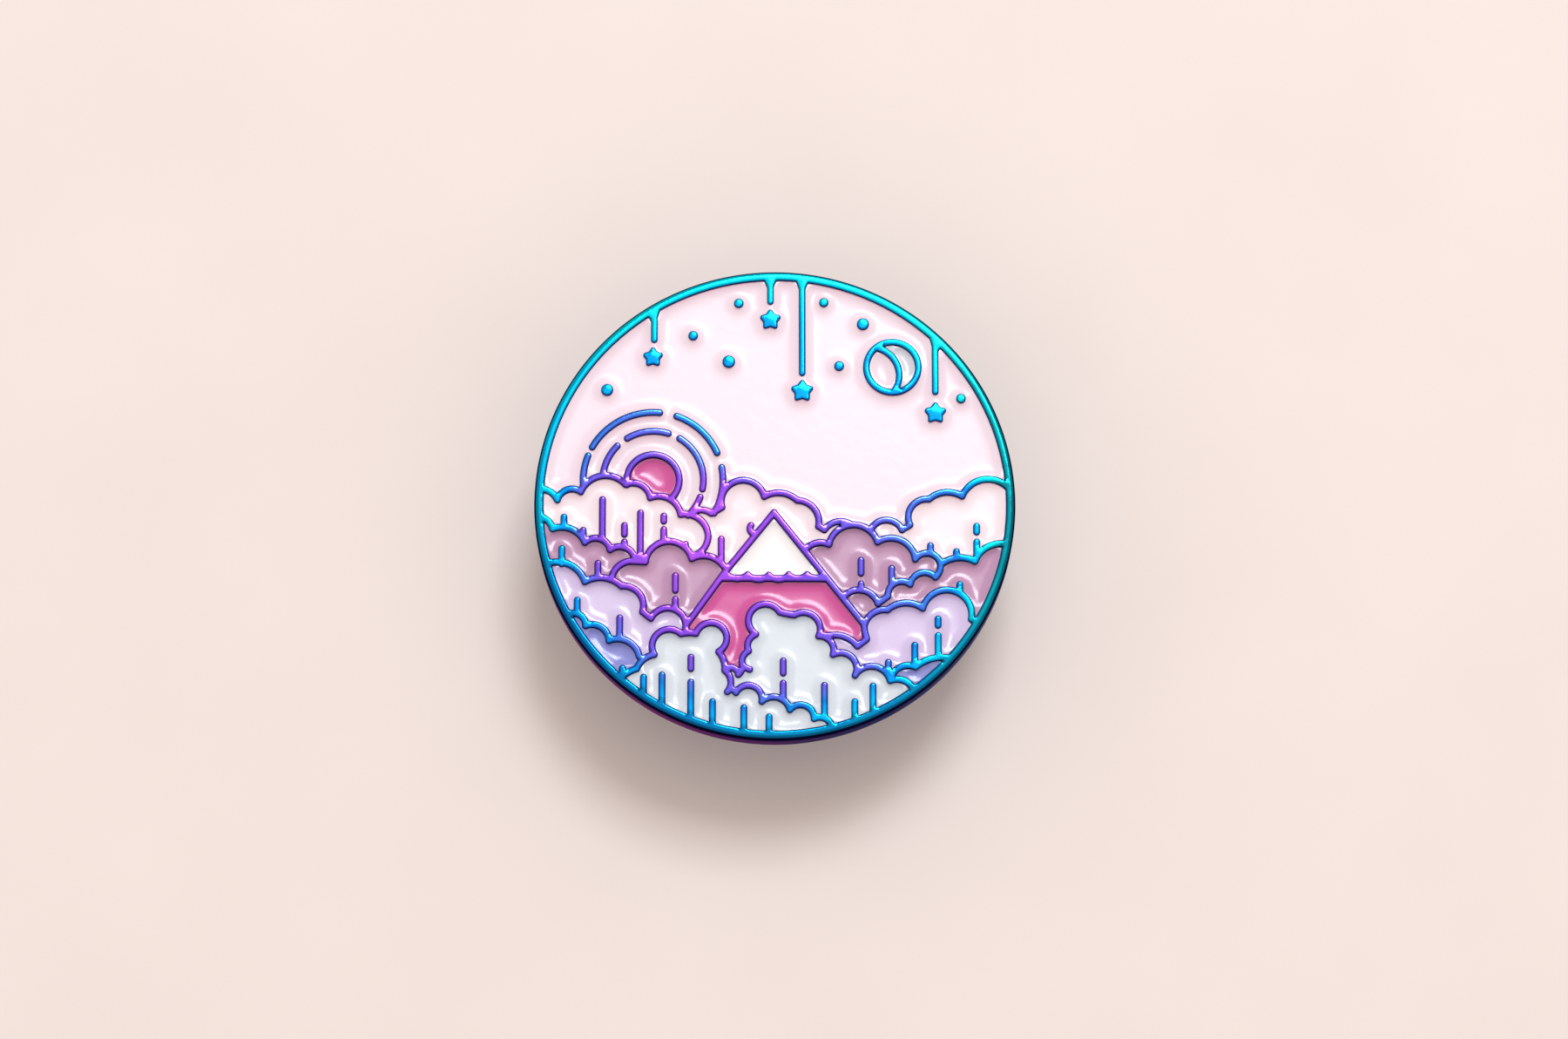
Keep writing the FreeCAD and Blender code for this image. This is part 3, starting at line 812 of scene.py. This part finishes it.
def distance_to(points: np.ndarray, loops: list, reach: float = 1.2 * MM) -> np.ndarray:
    """Measure how far the nearest side is: the least length of a point's offset from its foot on a side.

    Args:
        points: where to measure.
        loops: the loops.
        reach: the most that is measured.

    Returns:
        One distance for each point, at most reach.
    """
    starts, ends = sides(loops)
    along = ends - starts
    squared = (along ** 2).sum(axis=1)
    nearest = np.full(len(points), reach)
    for group, near in tiles(points, starts, ends, reach):
        if len(near) == 0:
            continue
        offset = points[group, None] - starts[near]
        share = np.clip((offset * along[near]).sum(axis=2) / squared[near], 0, 1)
        gap = offset - share[:, :, None] * along[near]
        nearest[group] = np.minimum(reach, np.sqrt((gap ** 2).sum(axis=2).min(axis=1)))
    return nearest


def inside(points: np.ndarray, loops: list) -> np.ndarray:
    """Tell which points lie inside the loops: a ray to the right crosses them an odd number of times.

    Args:
        points: the points.
        loops: an outline and the outlines of its holes.

    Returns:
        One truth for each point.
    """
    batch = 500
    starts, ends = sides(loops)
    run, rise = (ends - starts).T
    slope = run / np.where(rise == 0, 1e-12, rise)
    result = np.zeros(len(points), bool)
    boxed = np.nonzero(((points > starts.min(axis=0)) & (points < starts.max(axis=0))).all(axis=1))[0]
    if len(boxed) == 0:
        return result
    boxed = boxed[np.argsort(points[boxed, 1])]
    for group in np.array_split(boxed, max(1, len(boxed) // batch)):
        x, y = points[group, :1], points[group, 1:]
        level = np.nonzero((np.maximum(starts[:, 1], ends[:, 1]) >= y.min())
                           & (np.minimum(starts[:, 1], ends[:, 1]) <= y.max()))[0]
        spans = (starts[level, 1] > y) != (ends[level, 1] > y)
        right = x < starts[level, 0] + (y - starts[level, 1]) * slope[level]
        result[group] = (spans & right).sum(axis=1) % 2 == 1
    return result


def nearness(points: np.ndarray, loops: list, reach: float, upper: bool = False) -> np.ndarray:
    """Add up how near the walls are: 1 at a long straight wall, falling off as a bell curve.

    Each short side of a loop adds its length times exp(-d^2 / 2 reach^2), and the sum is divided by
    reach times the root of 2 pi, which is what a long straight wall adds up to.

    Args:
        points: where to work it out.
        loops: the walls.
        reach: the width of the bell curve.
        upper: whether a wall counts only by how much it faces down the picture.

    Returns:
        One number for each point.
    """
    short, far = 0.12 * MM, 4 * reach
    fine = [even_steps(loop, short) for loop in loops]
    starts, ends = sides(fine)
    middle = (starts + ends) / 2
    length = np.maximum(starts[:, 0] - ends[:, 0], 0) if upper else np.linalg.norm(ends - starts, axis=1)
    weight = length / (reach * math.sqrt(2 * math.pi))
    total = np.zeros(len(points))
    for group, near in tiles(points, starts, ends, far):
        squared = ((points[group, None] - middle[near]) ** 2).sum(axis=2)
        total[group] = np.exp(squared / (-2 * reach ** 2)) @ weight[near]
    return total


@dataclass
class StruckFace:
    """The flat map of the pin's face: its cells' walls, and one net of triangles over the whole of it.

    The rings are distances from a wall, on its metal side and on its pool's, at which the net has points.
    """

    radius: float
    wall_step: float = 0.16 * MM
    metal_rings: tuple = (0.018 * MM, 0.05 * MM, 0.092 * MM, 0.14 * MM)
    pool_rings: tuple = (0.06 * MM, 0.14 * MM, 0.24 * MM, 0.36 * MM, 0.5 * MM, 0.66 * MM, 0.86 * MM)
    pool_step: float = 0.34 * MM
    rim_margin: float = 0.8 * MM
    edge_margin: float = 0.02 * MM
    segments: int = 288

    def __post_init__(self) -> None:
        """Read the cells' outlines and lay the net."""
        names = [name for name in frame["nodes"] if name.startswith("enamel_")]
        self.cells = {
            name: [even_steps(loop, self.wall_step) for loop in top_outline(name)] for name in names}
        self.walls = [loop for loops in self.cells.values() for loop in loops]
        self.lay_net()

    def rim_circle(self) -> np.ndarray:
        """Give the points of the outer circle."""
        turn = full_turn(self.segments)
        return self.radius * np.stack([np.cos(turn), np.sin(turn)], axis=1)

    def ring_points(self) -> np.ndarray:
        """Set points beside every wall, into the metal and into the pool, where no other wall is nearer.

        Returns:
            Their x and y.
        """
        least = 0.93
        sets = []
        for side, rings in ((-1, self.metal_rings), (1, self.pool_rings)):
            for gap in rings:
                spots = np.concatenate([loop + side * gap * leftward(loop) for loop in self.walls])
                sets.append(spots[distance_to(spots, self.walls) > least * gap])
        return np.concatenate(sets)

    def open_points(self) -> np.ndarray:
        """Set a staggered grid of points over the open parts of the pools.

        Returns:
            Their x and y.
        """
        count = int(2 * self.radius / self.pool_step) + 2
        column, row = np.meshgrid(np.arange(count), np.arange(count))
        x = (column + 0.5 * (row % 2)) * self.pool_step - self.radius
        y = row * self.pool_step * math.sqrt(0.75) - self.radius
        spots = np.stack([x.ravel(), y.ravel()], axis=1)
        spots = spots[np.hypot(*spots.T) < self.radius - self.rim_margin]
        return spots[distance_to(spots, self.walls) > self.pool_rings[-1] + 0.4 * self.pool_step]

    def lay_net(self) -> None:
        """Triangulate the walls, the rim's circle and all set points, and sort the triangles by cell."""
        loops = self.walls + [self.rim_circle()]
        free = np.concatenate([self.ring_points(), self.open_points()])
        free = free[np.hypot(*free.T) < self.radius - self.edge_margin]
        self.spots, self.triangles = triangulate(loops, free)
        centres = self.spots[self.triangles].mean(axis=1)
        self.patches = {}
        claimed = np.zeros(len(centres), bool)
        for name, walls in self.cells.items():
            held = inside(centres, walls)
            self.patches[name] = self.triangles[held]
            claimed |= held
        self.metal = self.triangles[~claimed]
        self.floors = {name: floor_net(walls) for name, walls in self.cells.items()}


def triangulate(loops: list, free: np.ndarray) -> tuple:
    """Lay a net of triangles over closed loops, which it keeps as edges, and loose points.

    Args:
        loops: arrays of x and y.
        free: more points.

    Returns:
        The net's points and its triangles, all turning to the left.
    """
    border = np.concatenate(loops)
    scale = 1 / MM
    edges = []
    first = 0
    for loop in loops:
        number = np.arange(len(loop)) + first
        edges += np.stack([number, np.roll(number, -1)], axis=1).tolist()
        first += len(loop)
    everything = np.concatenate([border, free]) * scale
    result = geometry.delaunay_2d_cdt([Vector(spot) for spot in everything], edges, [], 0, 1e-5)
    spots = np.array([tuple(spot) for spot in result[0]]) / scale
    triangles = np.array([tuple(face) for face in result[2]])
    one, two, three = (spots[triangles[:, corner]] for corner in range(3))
    first_side, second_side = two - one, three - one
    turn = first_side[:, 0] * second_side[:, 1] - first_side[:, 1] * second_side[:, 0]
    triangles[turn < 0] = triangles[turn < 0][:, ::-1]
    return spots, triangles


def floor_net(walls: list) -> tuple:
    """Triangulate one cell's floor from its walls alone."""
    spots, triangles = triangulate(walls, np.empty((0, 2)))
    return spots, triangles[inside(spots[triangles].mean(axis=1), walls)]


class Parts:
    """Collects vertices and faces of one piece from several surfaces."""

    def __init__(self) -> None:
        """Start with nothing."""
        self.points = []
        self.faces = []
        self.count = 0

    def add(self, points: np.ndarray, faces: np.ndarray) -> None:
        """Take in a surface.

        Args:
            points: its vertices.
            faces: rows of their numbers.
        """
        self.points.append(points)
        self.faces += [tuple(face) for face in (faces + self.count).tolist()]
        self.count += len(points)

    def flat(self, spots: np.ndarray, height: "np.ndarray | float", faces: np.ndarray) -> None:
        """Take in a surface over the map, and only the points that it uses.

        Args:
            spots: x and y of the map's points.
            height: the height of each, or of all.
            faces: rows of their numbers.
        """
        used, number = np.unique(faces, return_inverse=True)
        heights = np.broadcast_to(height, len(spots))[used]
        self.add(np.column_stack([spots[used], heights]), number.reshape(faces.shape))

    def wall(self, loop: np.ndarray, low: "np.ndarray | float", high: "np.ndarray | float") -> None:
        """Take in an upright wall over a loop, which faces to the loop's left.

        Args:
            loop: its x and y.
            low: the height of its foot.
            high: the height of its top.
        """
        size = len(loop)
        upper = np.column_stack([loop, np.broadcast_to(high, size)])
        lower = np.column_stack([loop, np.broadcast_to(low, size)])
        self.add(np.concatenate([upper, lower]), grid_faces(2, size))

    def piece(self, name: str, crease: float = 60.0) -> bpy.types.Object:
        """Join everything into one object."""
        return new_piece(name, np.concatenate(self.points), self.faces, crease)


@dataclass
class Plate:
    """The die-struck plate: rim, raised lines with soft shoulders, cell walls and floors, edge and back."""

    face: StruckFace
    shoulder: float = 0.14 * MM
    shoulder_drop: float = 0.12 * MM
    rim_round: float = 0.30 * MM
    back_round: float = 0.15 * MM

    def __post_init__(self) -> None:
        """Take the heights from the CAD plate."""
        low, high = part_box("plate")
        self.back, self.top, self.radius = low.z, high.z, min(high.x, high.y)
        self.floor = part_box("enamel_sky")[0].z

    def relief(self, gap: np.ndarray) -> np.ndarray:
        """Give the metal's height by its distance from a wall: a quarter ellipse, then flat."""
        rise = 1 - np.minimum(gap / self.shoulder, 1)
        return self.top - self.shoulder_drop * (1 - np.sqrt(1 - rise ** 2))

    def build(self) -> bpy.types.Object:
        """Build the plate's mesh and dress it.

        Returns:
            The plate.
        """
        parts = Parts()
        net = self.face
        gap = distance_to(net.spots, net.walls)
        gap[np.hypot(*net.spots.T) > net.radius - net.edge_margin / 2] = self.shoulder
        parts.flat(net.spots, self.relief(gap), net.metal)
        for name, walls in net.cells.items():
            parts.flat(net.floors[name][0], self.floor, net.floors[name][1])
            for loop in walls:
                parts.wall(loop, self.floor, self.top - self.shoulder_drop)
        parts.add(*self.edge_and_back())
        piece = parts.piece("struck_plate")
        # keep how far each vertex faces up, by which the plating paints shade on walls and shoulders
        store(piece.data, "facing", read_rows(piece.data.vertex_normals, "vector")[:, 2].copy())
        dress(piece, ROOT, "plate", RainbowPlating().build())
        return piece

    def edge_and_back(self) -> tuple:
        """Turn the outer edge and the back.

        The profile runs from the rim's flat top over its rounding, down the side, round the lower edge and
        in to the middle of the back.

        Returns:
            The points and the faces.
        """
        corners = np.array([
            [self.face.radius, self.top], [self.radius, self.top],
            [self.radius, self.back], [self.radius * 0.5, self.back]])
        edge = rounded_path(corners, [0, self.rim_round, self.back_round, 0], 7)
        inward = np.linspace(self.radius - self.back_round, 0, 24)[1:]
        profile = np.concatenate([edge[:-1], np.column_stack([inward, np.full(len(inward), self.back)])])
        segments = self.face.segments
        return turned(profile, segments), grid_faces(len(profile), segments)[:, ::-1]


@dataclass
class Pools:
    """The enamel: one pool to a cell, low in its middle and drawn up at the walls."""

    face: StruckFace
    rest: float = 0.40 * MM
    climb: float = 0.16 * MM
    reach: float = 0.28 * MM
    limit: float = 1.3

    def build(self, tints: dict) -> None:
        """Build every pool with its enamel.

        Args:
            tints: the enamel of each CAD node.
        """
        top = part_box("plate")[1].z
        materials = {}
        for name, walls in self.face.cells.items():
            choice = tints[name]
            if choice not in materials:
                materials[choice] = SoftEnamel(*choice.value).build()
            piece = self.pool(name, walls, top)
            dress(piece, ROOT, name, materials[choice])

    def pool(self, name: str, walls: list, top: float) -> bpy.types.Object:
        """Build one pool: its curved top, its sides down the walls and its flat underside.

        Args:
            name: the CAD node.
            walls: the loops round the cell.
            top: the height of the raised lines.

        Returns:
            The pool.
        """
        net = self.face
        used, number = np.unique(net.patches[name], return_inverse=True)
        spots = net.spots[used]
        faces = number.reshape(net.patches[name].shape)
        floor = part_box(name)[0].z
        parts = Parts()
        parts.add(np.column_stack([spots, self.height(spots, walls, top)]), faces)
        for loop in walls:
            parts.wall(loop[::-1], floor, self.height(loop[::-1], walls, top))
        under_spots, under = net.floors[name]
        parts.flat(under_spots, floor, under[:, ::-1])
        piece = parts.piece(f"pool_{name.removeprefix('enamel_')}")
        spots = read_rows(piece.data.vertices, "co")[:, :2]
        # nearness to every wall and to the upper walls, the masks of the enamel's painted shade
        store(piece.data, "wall", nearness(spots, walls, self.reach))
        store(piece.data, "upper_wall", nearness(spots, walls, self.reach, upper=True))
        return piece

    def height(self, spots: np.ndarray, walls: list, top: float) -> np.ndarray:
        """Give the enamel's height: its rest level, raised by how near the walls are."""
        return top - self.rest + self.climb * np.minimum(nearness(spots, walls, self.reach), self.limit)


# ---------------------------------------------------------------------------------------------------------
# Posts and clutches
# ---------------------------------------------------------------------------------------------------------

@dataclass
class Post:
    """A pointed and notched post with a pad soldered to the plate's back.

    The point, the notch's slopes and the notch itself are given by their heights above the tip.
    """

    side: str
    radius: float = 0.5 * MM
    tip_radius: float = 0.09 * MM
    point: float = 1.1 * MM
    notch: tuple = (2.6 * MM, 2.8 * MM, 3.2 * MM, 3.4 * MM)
    notch_radius: float = 0.36 * MM
    pad_radius: float = 1.5 * MM
    pad_thickness: float = 0.36 * MM
    solder: float = 0.06 * MM
    soft: float = 0.08 * MM

    def build(self, material: bpy.types.Material) -> None:
        """Turn the post and its pad.

        Args:
            material: its steel.
        """
        node = f"{self.side}_post"
        low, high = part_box(node)
        tip, back = low.z, high.z
        slope, floor, floor_end, slope_end = (tip + height for height in self.notch)
        pad = back - self.pad_thickness
        outline = np.array([
            (0, tip, 0), (self.tip_radius, tip, 0.06 * MM), (self.radius, tip + self.point, 0.8 * MM),
            (self.radius, slope, self.soft), (self.notch_radius, floor, self.soft),
            (self.notch_radius, floor_end, self.soft), (self.radius, slope_end, self.soft),
            (self.radius, pad - self.solder, 0.3 * MM), (self.pad_radius, pad, 0.1 * MM),
            (self.pad_radius, back, 0.02 * MM), (0, back, 0)])
        profile = rounded_path(outline[:, :2], outline[:, 2].tolist(), 6)
        middle = ((low.x + high.x) / 2, (low.y + high.y) / 2)
        piece = lathe(f"{self.side}_post_turned", profile, middle, segments=64, ring=False)
        dress(piece, ROOT, node, material)


@dataclass
class ButterflyClutch:
    """A clutch: a dished disc with a rolled bead, a cap with two slots, and two wings of spring strip.

    The disc's places are radii, and the wings' are distances from the post. The dish is how far the disc's
    flat lies below its edge. The bends are the radii of a wing's two bends.
    """

    side: str
    sheet: float = 0.35 * MM
    guide: float = 0.56 * MM
    funnel: float = 1.75 * MM
    funnel_depth: float = 0.55 * MM
    ring: tuple = (2.5 * MM, 2.72 * MM, 3.1 * MM, 3.32 * MM)
    ring_height: float = 0.12 * MM
    step: tuple = (4.7 * MM, 5.05 * MM)
    dish: float = 0.2 * MM
    bead: float = 0.7 * MM
    strip: float = 0.4 * MM
    strip_half: float = 1.2 * MM
    strip_edge: float = 0.1 * MM
    wing_half: float = 2.6 * MM
    wing_corner: float = 1.2 * MM
    wing_spread: tuple = (4.12 * MM, 4.42 * MM)
    wing_steps: int = 110
    bends: tuple = (0.42 * MM, 0.45 * MM)
    tip_inset: float = 0.07 * MM
    finger_dish: float = 0.12 * MM
    finger_place: tuple = (4.4 * MM, 5.6 * MM)
    jaw_radius: float = 0.55 * MM
    jaw_length: float = 0.9 * MM

    def __post_init__(self) -> None:
        """Find the clutch's axis and its disc's heights in the CAD model."""
        low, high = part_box(f"{self.side}_clutch_disc")
        self.x = (low.x + high.x) / 2
        self.top = high.z
        self.disc_radius = (high.x - low.x) / 2

    def build(self, sheet_metal: bpy.types.Material, spring_metal: bpy.types.Material) -> None:
        """Build the disc, the cap and both wings.

        Args:
            sheet_metal: the finish of the disc and the cap.
            spring_metal: the finish of the wings.
        """
        self.disc(sheet_metal)
        self.cap(sheet_metal)
        for joint in frame["joints"]:
            if joint["name"].startswith(self.side) and joint["name"].endswith("squeeze"):
                self.wing(joint, spring_metal)

    def disc(self, material: bpy.types.Material) -> None:
        """Turn the disc: a funnel, a flat with a stamped ring, a step up and a bead rolled over the edge.

        Args:
            material: its finish.
        """
        top, edge, sheet = self.top, self.disc_radius, self.sheet
        face = top - self.dish
        raised = face + self.ring_height
        step_in, step_out = self.step
        soft = 0.12 * MM
        outline = np.array([
            (self.guide, face - self.funnel_depth, 0), (self.funnel, face, 0.3 * MM),
            (self.ring[0], face, soft), (self.ring[1], raised, soft),
            (self.ring[2], raised, soft), (self.ring[3], face, soft),
            (step_in, face, 0.2 * MM), (step_out, top, 0.2 * MM),
            (edge, top, 0.3 * MM), (edge, top - self.bead, 0.15 * MM),
            (edge - sheet, top - self.bead, 0.15 * MM), (edge - sheet, top - sheet, 0.05 * MM),
            (step_out, top - sheet, 0.1 * MM), (step_in, face - sheet, 0.1 * MM),
            (self.funnel + 0.1 * MM, face - sheet, 0.3 * MM),
            (self.guide, face - sheet - self.funnel_depth, 0)])
        profile = rounded_path(outline[:, :2], outline[:, 2].tolist(), 5)[::-1]
        piece = lathe(f"{self.side}_clutch_disc_stamped", profile, (self.x, 0.0), segments=96)
        dress(piece, f"{self.side}_clutch", f"{self.side}_clutch_disc", material)

    def cap(self, material: bpy.types.Material) -> None:
        """Soften the CAD cap's edges, as stamping leaves them.

        Args:
            material: its finish.
        """
        node = f"{self.side}_clutch_cap"
        piece = softened_copy(f"{node}_stamped", node, 0.07 * MM)
        dress(piece, f"{self.side}_clutch", node, material)

    def wing_line(self, node: str, out: float, height: float) -> np.ndarray:
        """Lay the middle line of a wing, from the jaw to the bend at the cap's wall, down it and to the tip.

        Args:
            node: the CAD wing.
            out: how far the hinge is from the post.
            height: how high it is.

        Returns:
            The distance from the post and the height of each point.
        """
        low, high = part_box(node)
        reach = max(abs(low.y), abs(high.y))
        jaw = min(abs(low.y), abs(high.y))
        arm = high.z - self.strip / 2
        corners = np.array([
            [jaw, arm], [out, arm], [out, height], [reach - self.tip_inset, low.z + self.strip / 2]])
        return even_line(rounded_path(corners, [0, *self.bends, 0], 10), self.wing_steps)

    def wing(self, joint: dict, material: bpy.types.Material) -> None:
        """Carry a rounded section along the bent line of one wing.

        The section is a flat bar with soft edges. Its half width is narrow inside the cap, spreads past the
        slot and closes to a rounded tip, and the jaw's end is hollowed round the post.

        Args:
            joint: the joint that squeezes the wing.
            material: its finish.
        """
        node = next(iter(frame["record"]["behaviour"]["bodies"][joint["child"]]))
        across_slot, height = joint["pos_m"][1:]
        hand = math.copysign(1.0, across_slot)
        line = self.wing_line(node, abs(across_slot), height)
        jaw = line[0, 0]
        length = lengths(line)
        half = self.wing_width(line[:, 0], length)
        ahead = np.gradient(line, axis=0)
        ahead /= np.linalg.norm(ahead, axis=1)[:, None]
        normal = np.stack([-ahead[:, 1], ahead[:, 0]], axis=1)
        across, bulge, rise = self.section()
        x = across * (half[:, None] - self.strip_edge) + bulge * self.strip_edge
        lift = rise * self.strip / 2
        dish = self.finger_dish * smooth_step(line[:, :1], *self.finger_place) * (x / self.wing_half) ** 2
        y = line[:, :1] + normal[:, :1] * (lift + dish)
        z = line[:, 1:] + normal[:, 1:] * (lift + dish)
        hollow = np.sqrt(np.maximum(self.jaw_radius ** 2 - x ** 2, jaw ** 2)) - jaw
        y = y + hollow * np.clip(1 - length[:, None] / self.jaw_length, 0, 1)
        points = np.stack([self.x + x * hand, y * hand, z], axis=2).reshape(-1, 3)
        rows, columns = x.shape
        faces = [tuple(face) for face in grid_faces(rows, columns).tolist()]
        faces.append(tuple(range(columns))[::-1])
        faces.append(tuple(range((rows - 1) * columns, rows * columns)))
        piece = new_piece(f"{node}_bent", points, faces, crease=55.0)
        outward(piece.data)
        dress(piece, joint["child"], node, material)

    def wing_width(self, out: np.ndarray, length: np.ndarray) -> np.ndarray:
        """Give the strip's half width, which spreads along a smooth step and closes as a quarter circle.

        Args:
            out: how far each point is from the post.
            length: how far it is along the strip.

        Returns:
            One half width for each point.
        """
        spread = smooth_step(out, *self.wing_spread)
        half = self.strip_half + (self.wing_half - self.strip_half) * spread
        past = np.clip((length - (length[-1] - self.wing_corner)) / self.wing_corner, 0, 1)
        return half - self.wing_corner * (1 - np.sqrt(1 - past ** 2))

    def section(self) -> tuple:
        """Lay out the strip's section: two flats, joined by half circles at its edges.

        Returns:
            The share of the half width, the share of the edge's reach, and the rise, for each point.
        """
        flat = np.linspace(-1, 1, 17)
        turn = np.linspace(math.pi / 2, -math.pi / 2, 7)[1:-1]
        on_flat, on_edge = np.ones(len(flat)), np.ones(len(turn))
        across = np.concatenate([flat, on_edge, flat[::-1], -on_edge])
        bulge = np.concatenate([flat * 0, np.cos(turn), flat * 0, -np.cos(turn)])
        rise = np.concatenate([on_flat, np.sin(turn), -on_flat, -np.sin(turn)])
        return across, bulge, rise


def smooth_step(value: np.ndarray, start: float, end: float) -> np.ndarray:
    """Rise from 0 to 1 along 3t^2 - 2t^3, where t is the share of the way.

    Args:
        value: what is measured.
        start: where the rise starts.
        end: where it ends.

    Returns:
        One number for each value.
    """
    share = np.clip((value - start) / (end - start), 0, 1)
    return share * share * (3 - 2 * share)


def lengths(line: np.ndarray) -> np.ndarray:
    """Measure how far along a line each of its points is."""
    return np.concatenate([[0], np.cumsum(np.linalg.norm(np.diff(line, axis=0), axis=1))])


def even_line(line: np.ndarray, count: int) -> np.ndarray:
    """Divide a line anew, with steps that shorten towards its end as 1 - (1 - t)^1.25.

    Args:
        line: its points, two columns.
        count: how many points to set.

    Returns:
        The new points.
    """
    length = lengths(line)
    share = np.linspace(0, 1, count)
    share = 1 - (1 - share) ** 1.25
    return np.stack([np.interp(share * length[-1], length, line[:, axis]) for axis in (0, 1)], axis=1)


# ---------------------------------------------------------------------------------------------------------
# Stage
# ---------------------------------------------------------------------------------------------------------

@dataclass
class Studio:
    """Pale table, soft light from the top of the picture and a long lens, a little off straight down."""

    elevation: float = 76.8
    lens: float = 120.0
    width_at_pin: float = 104.17 * MM
    aim_right: float = 0.613 * MM
    aim_down: float = 1.10 * MM
    table_half: float = 0.6
    world_colour: tuple = (1.0, 0.90, 0.82, 1.0)
    world_strength: float = 0.84

    def build(self) -> None:
        """Set the table, the lights, the world and the camera."""
        self.table()
        self.lights()
        self.camera()

    def table(self) -> None:
        """Lay the tabletop."""
        half = self.table_half
        points = np.array([[-half, -half, 0], [half, -half, 0], [half, half, 0], [-half, half, 0]])
        top = new_piece("table_top", points, [(0, 1, 2, 3)])
        top.data.materials.append(PaleTable().build())

    def lights(self) -> None:
        """Hang a soft key light behind the top of the picture, a weak overhead panel, and a pale world."""
        self.panel("key_light", azimuth=72.0, elevation=62.0, distance=0.6, size=0.21,
                   power=2.05, colour=(0.88, 0.94, 1.0))
        self.panel("overhead", azimuth=90.0, elevation=84.0, distance=0.8, size=0.30,
                   power=0.25, colour=(1.0, 0.98, 0.96))
        world = bpy.data.worlds.new("pale_room")
        world.use_nodes = True
        background = world.node_tree.nodes["Background"]
        background.inputs["Color"].default_value = self.world_colour
        background.inputs["Strength"].default_value = self.world_strength
        bpy.context.scene.world = world

    def panel(self, name: str, azimuth: float, elevation: float, distance: float, size: float,
              power: float, colour: tuple) -> None:
        """Hang a square light that faces the pin.

        Args:
            name: the light's name.
            azimuth: its direction from the pin, in degrees from +X towards +Y.
            elevation: its height above the horizon, in degrees.
            distance: how far it is, in metres.
            size: its side, in metres.
            power: its power, in watts.
            colour: its red, green and blue.
        """
        light = bpy.data.lights.new(name, "AREA")
        light.size = size
        light.energy = power
        light.color = colour
        lamp = bpy.data.objects.new(name, light)
        flat = math.cos(math.radians(elevation))
        towards = Vector((
            flat * math.cos(math.radians(azimuth)), flat * math.sin(math.radians(azimuth)),
            math.sin(math.radians(elevation))))
        lamp.location = towards * distance
        lamp.rotation_euler = towards.to_track_quat("Z", "Y").to_euler()
        bpy.context.scene.collection.objects.link(lamp)

    def camera(self) -> None:
        """Place the camera in front of and above the pin, aimed a little below and right of its middle."""
        tilt = math.radians(self.elevation)
        right = Vector((1, 0, 0))
        up = Vector((0, math.sin(tilt), math.cos(tilt)))
        towards = Vector((0, -math.cos(tilt), math.sin(tilt)))
        lens = bpy.data.cameras.new("long_lens")
        lens.lens = self.lens
        distance = self.width_at_pin * self.lens / lens.sensor_width
        centre = Vector((0, 0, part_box("plate")[1].z))
        target = centre + right * self.aim_right - up * self.aim_down
        view = bpy.data.objects.new("camera", lens)
        rotation = Matrix((right, up, towards)).transposed().to_4x4()
        view.matrix_world = Matrix.Translation(target + towards * distance) @ rotation
        lens.clip_start = 0.01
        lens.clip_end = 10.0
        bpy.context.scene.collection.objects.link(view)
        bpy.context.scene.camera = view
        bpy.context.scene.view_settings.view_transform = "Standard"


TINTS = {
    "enamel_sky": EnamelTint.SKY,
    "enamel_sun": EnamelTint.MAGENTA,
    "enamel_moon_disc": EnamelTint.SKY,
    "enamel_moon_crescent": EnamelTint.MOON,
    "enamel_cloud_left": EnamelTint.CLOUD,
    "enamel_cloud_centre": EnamelTint.CLOUD,
    "enamel_cloud_right": EnamelTint.CLOUD,
    "enamel_snow_cap": EnamelTint.SNOW,
    "enamel_mountain": EnamelTint.MAGENTA,
    "enamel_mauve_left": EnamelTint.MAUVE,
    "enamel_mauve_centre": EnamelTint.MAUVE,
    "enamel_mauve_right": EnamelTint.MAUVE,
    "enamel_mauve_far_right": EnamelTint.MAUVE,
    "enamel_lilac_left": EnamelTint.LILAC,
    "enamel_lilac_right": EnamelTint.LILAC,
    "enamel_slate_left": EnamelTint.SLATE,
    "enamel_slate_right": EnamelTint.SLATE,
    "enamel_grey_left": EnamelTint.GREY,
    "enamel_grey_centre": EnamelTint.GREY,
}


def main() -> None:
    """Build the whole pin and its studio."""
    logging.basicConfig(level=logging.INFO, format="%(name)s: %(message)s")
    Studio().build()
    face = StruckFace(radius=min(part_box("plate")[1].xy) - Plate.rim_round)
    LOG.info("face: %d points, %d triangles", len(face.spots), len(face.triangles))
    plate = Plate(face).build()
    LOG.info("plate: %d faces", len(plate.data.polygons))
    Pools(face).build(TINTS)
    LOG.info("pools: %d", len(face.cells))
    steel = DrawnSteel().build()
    sheet_metal = PlatedSheet().build()
    spring_metal = PlatedSheet("nickel_strip", "C8C5BE", "B0ABA2").build()
    for side in ("left", "right"):
        Post(side).build(steel)
        ButterflyClutch(side).build(sheet_metal, spring_metal)
        LOG.info("%s post and clutch", side)
    bpy.context.view_layer.update()


if __name__ == "__main__":
    main()
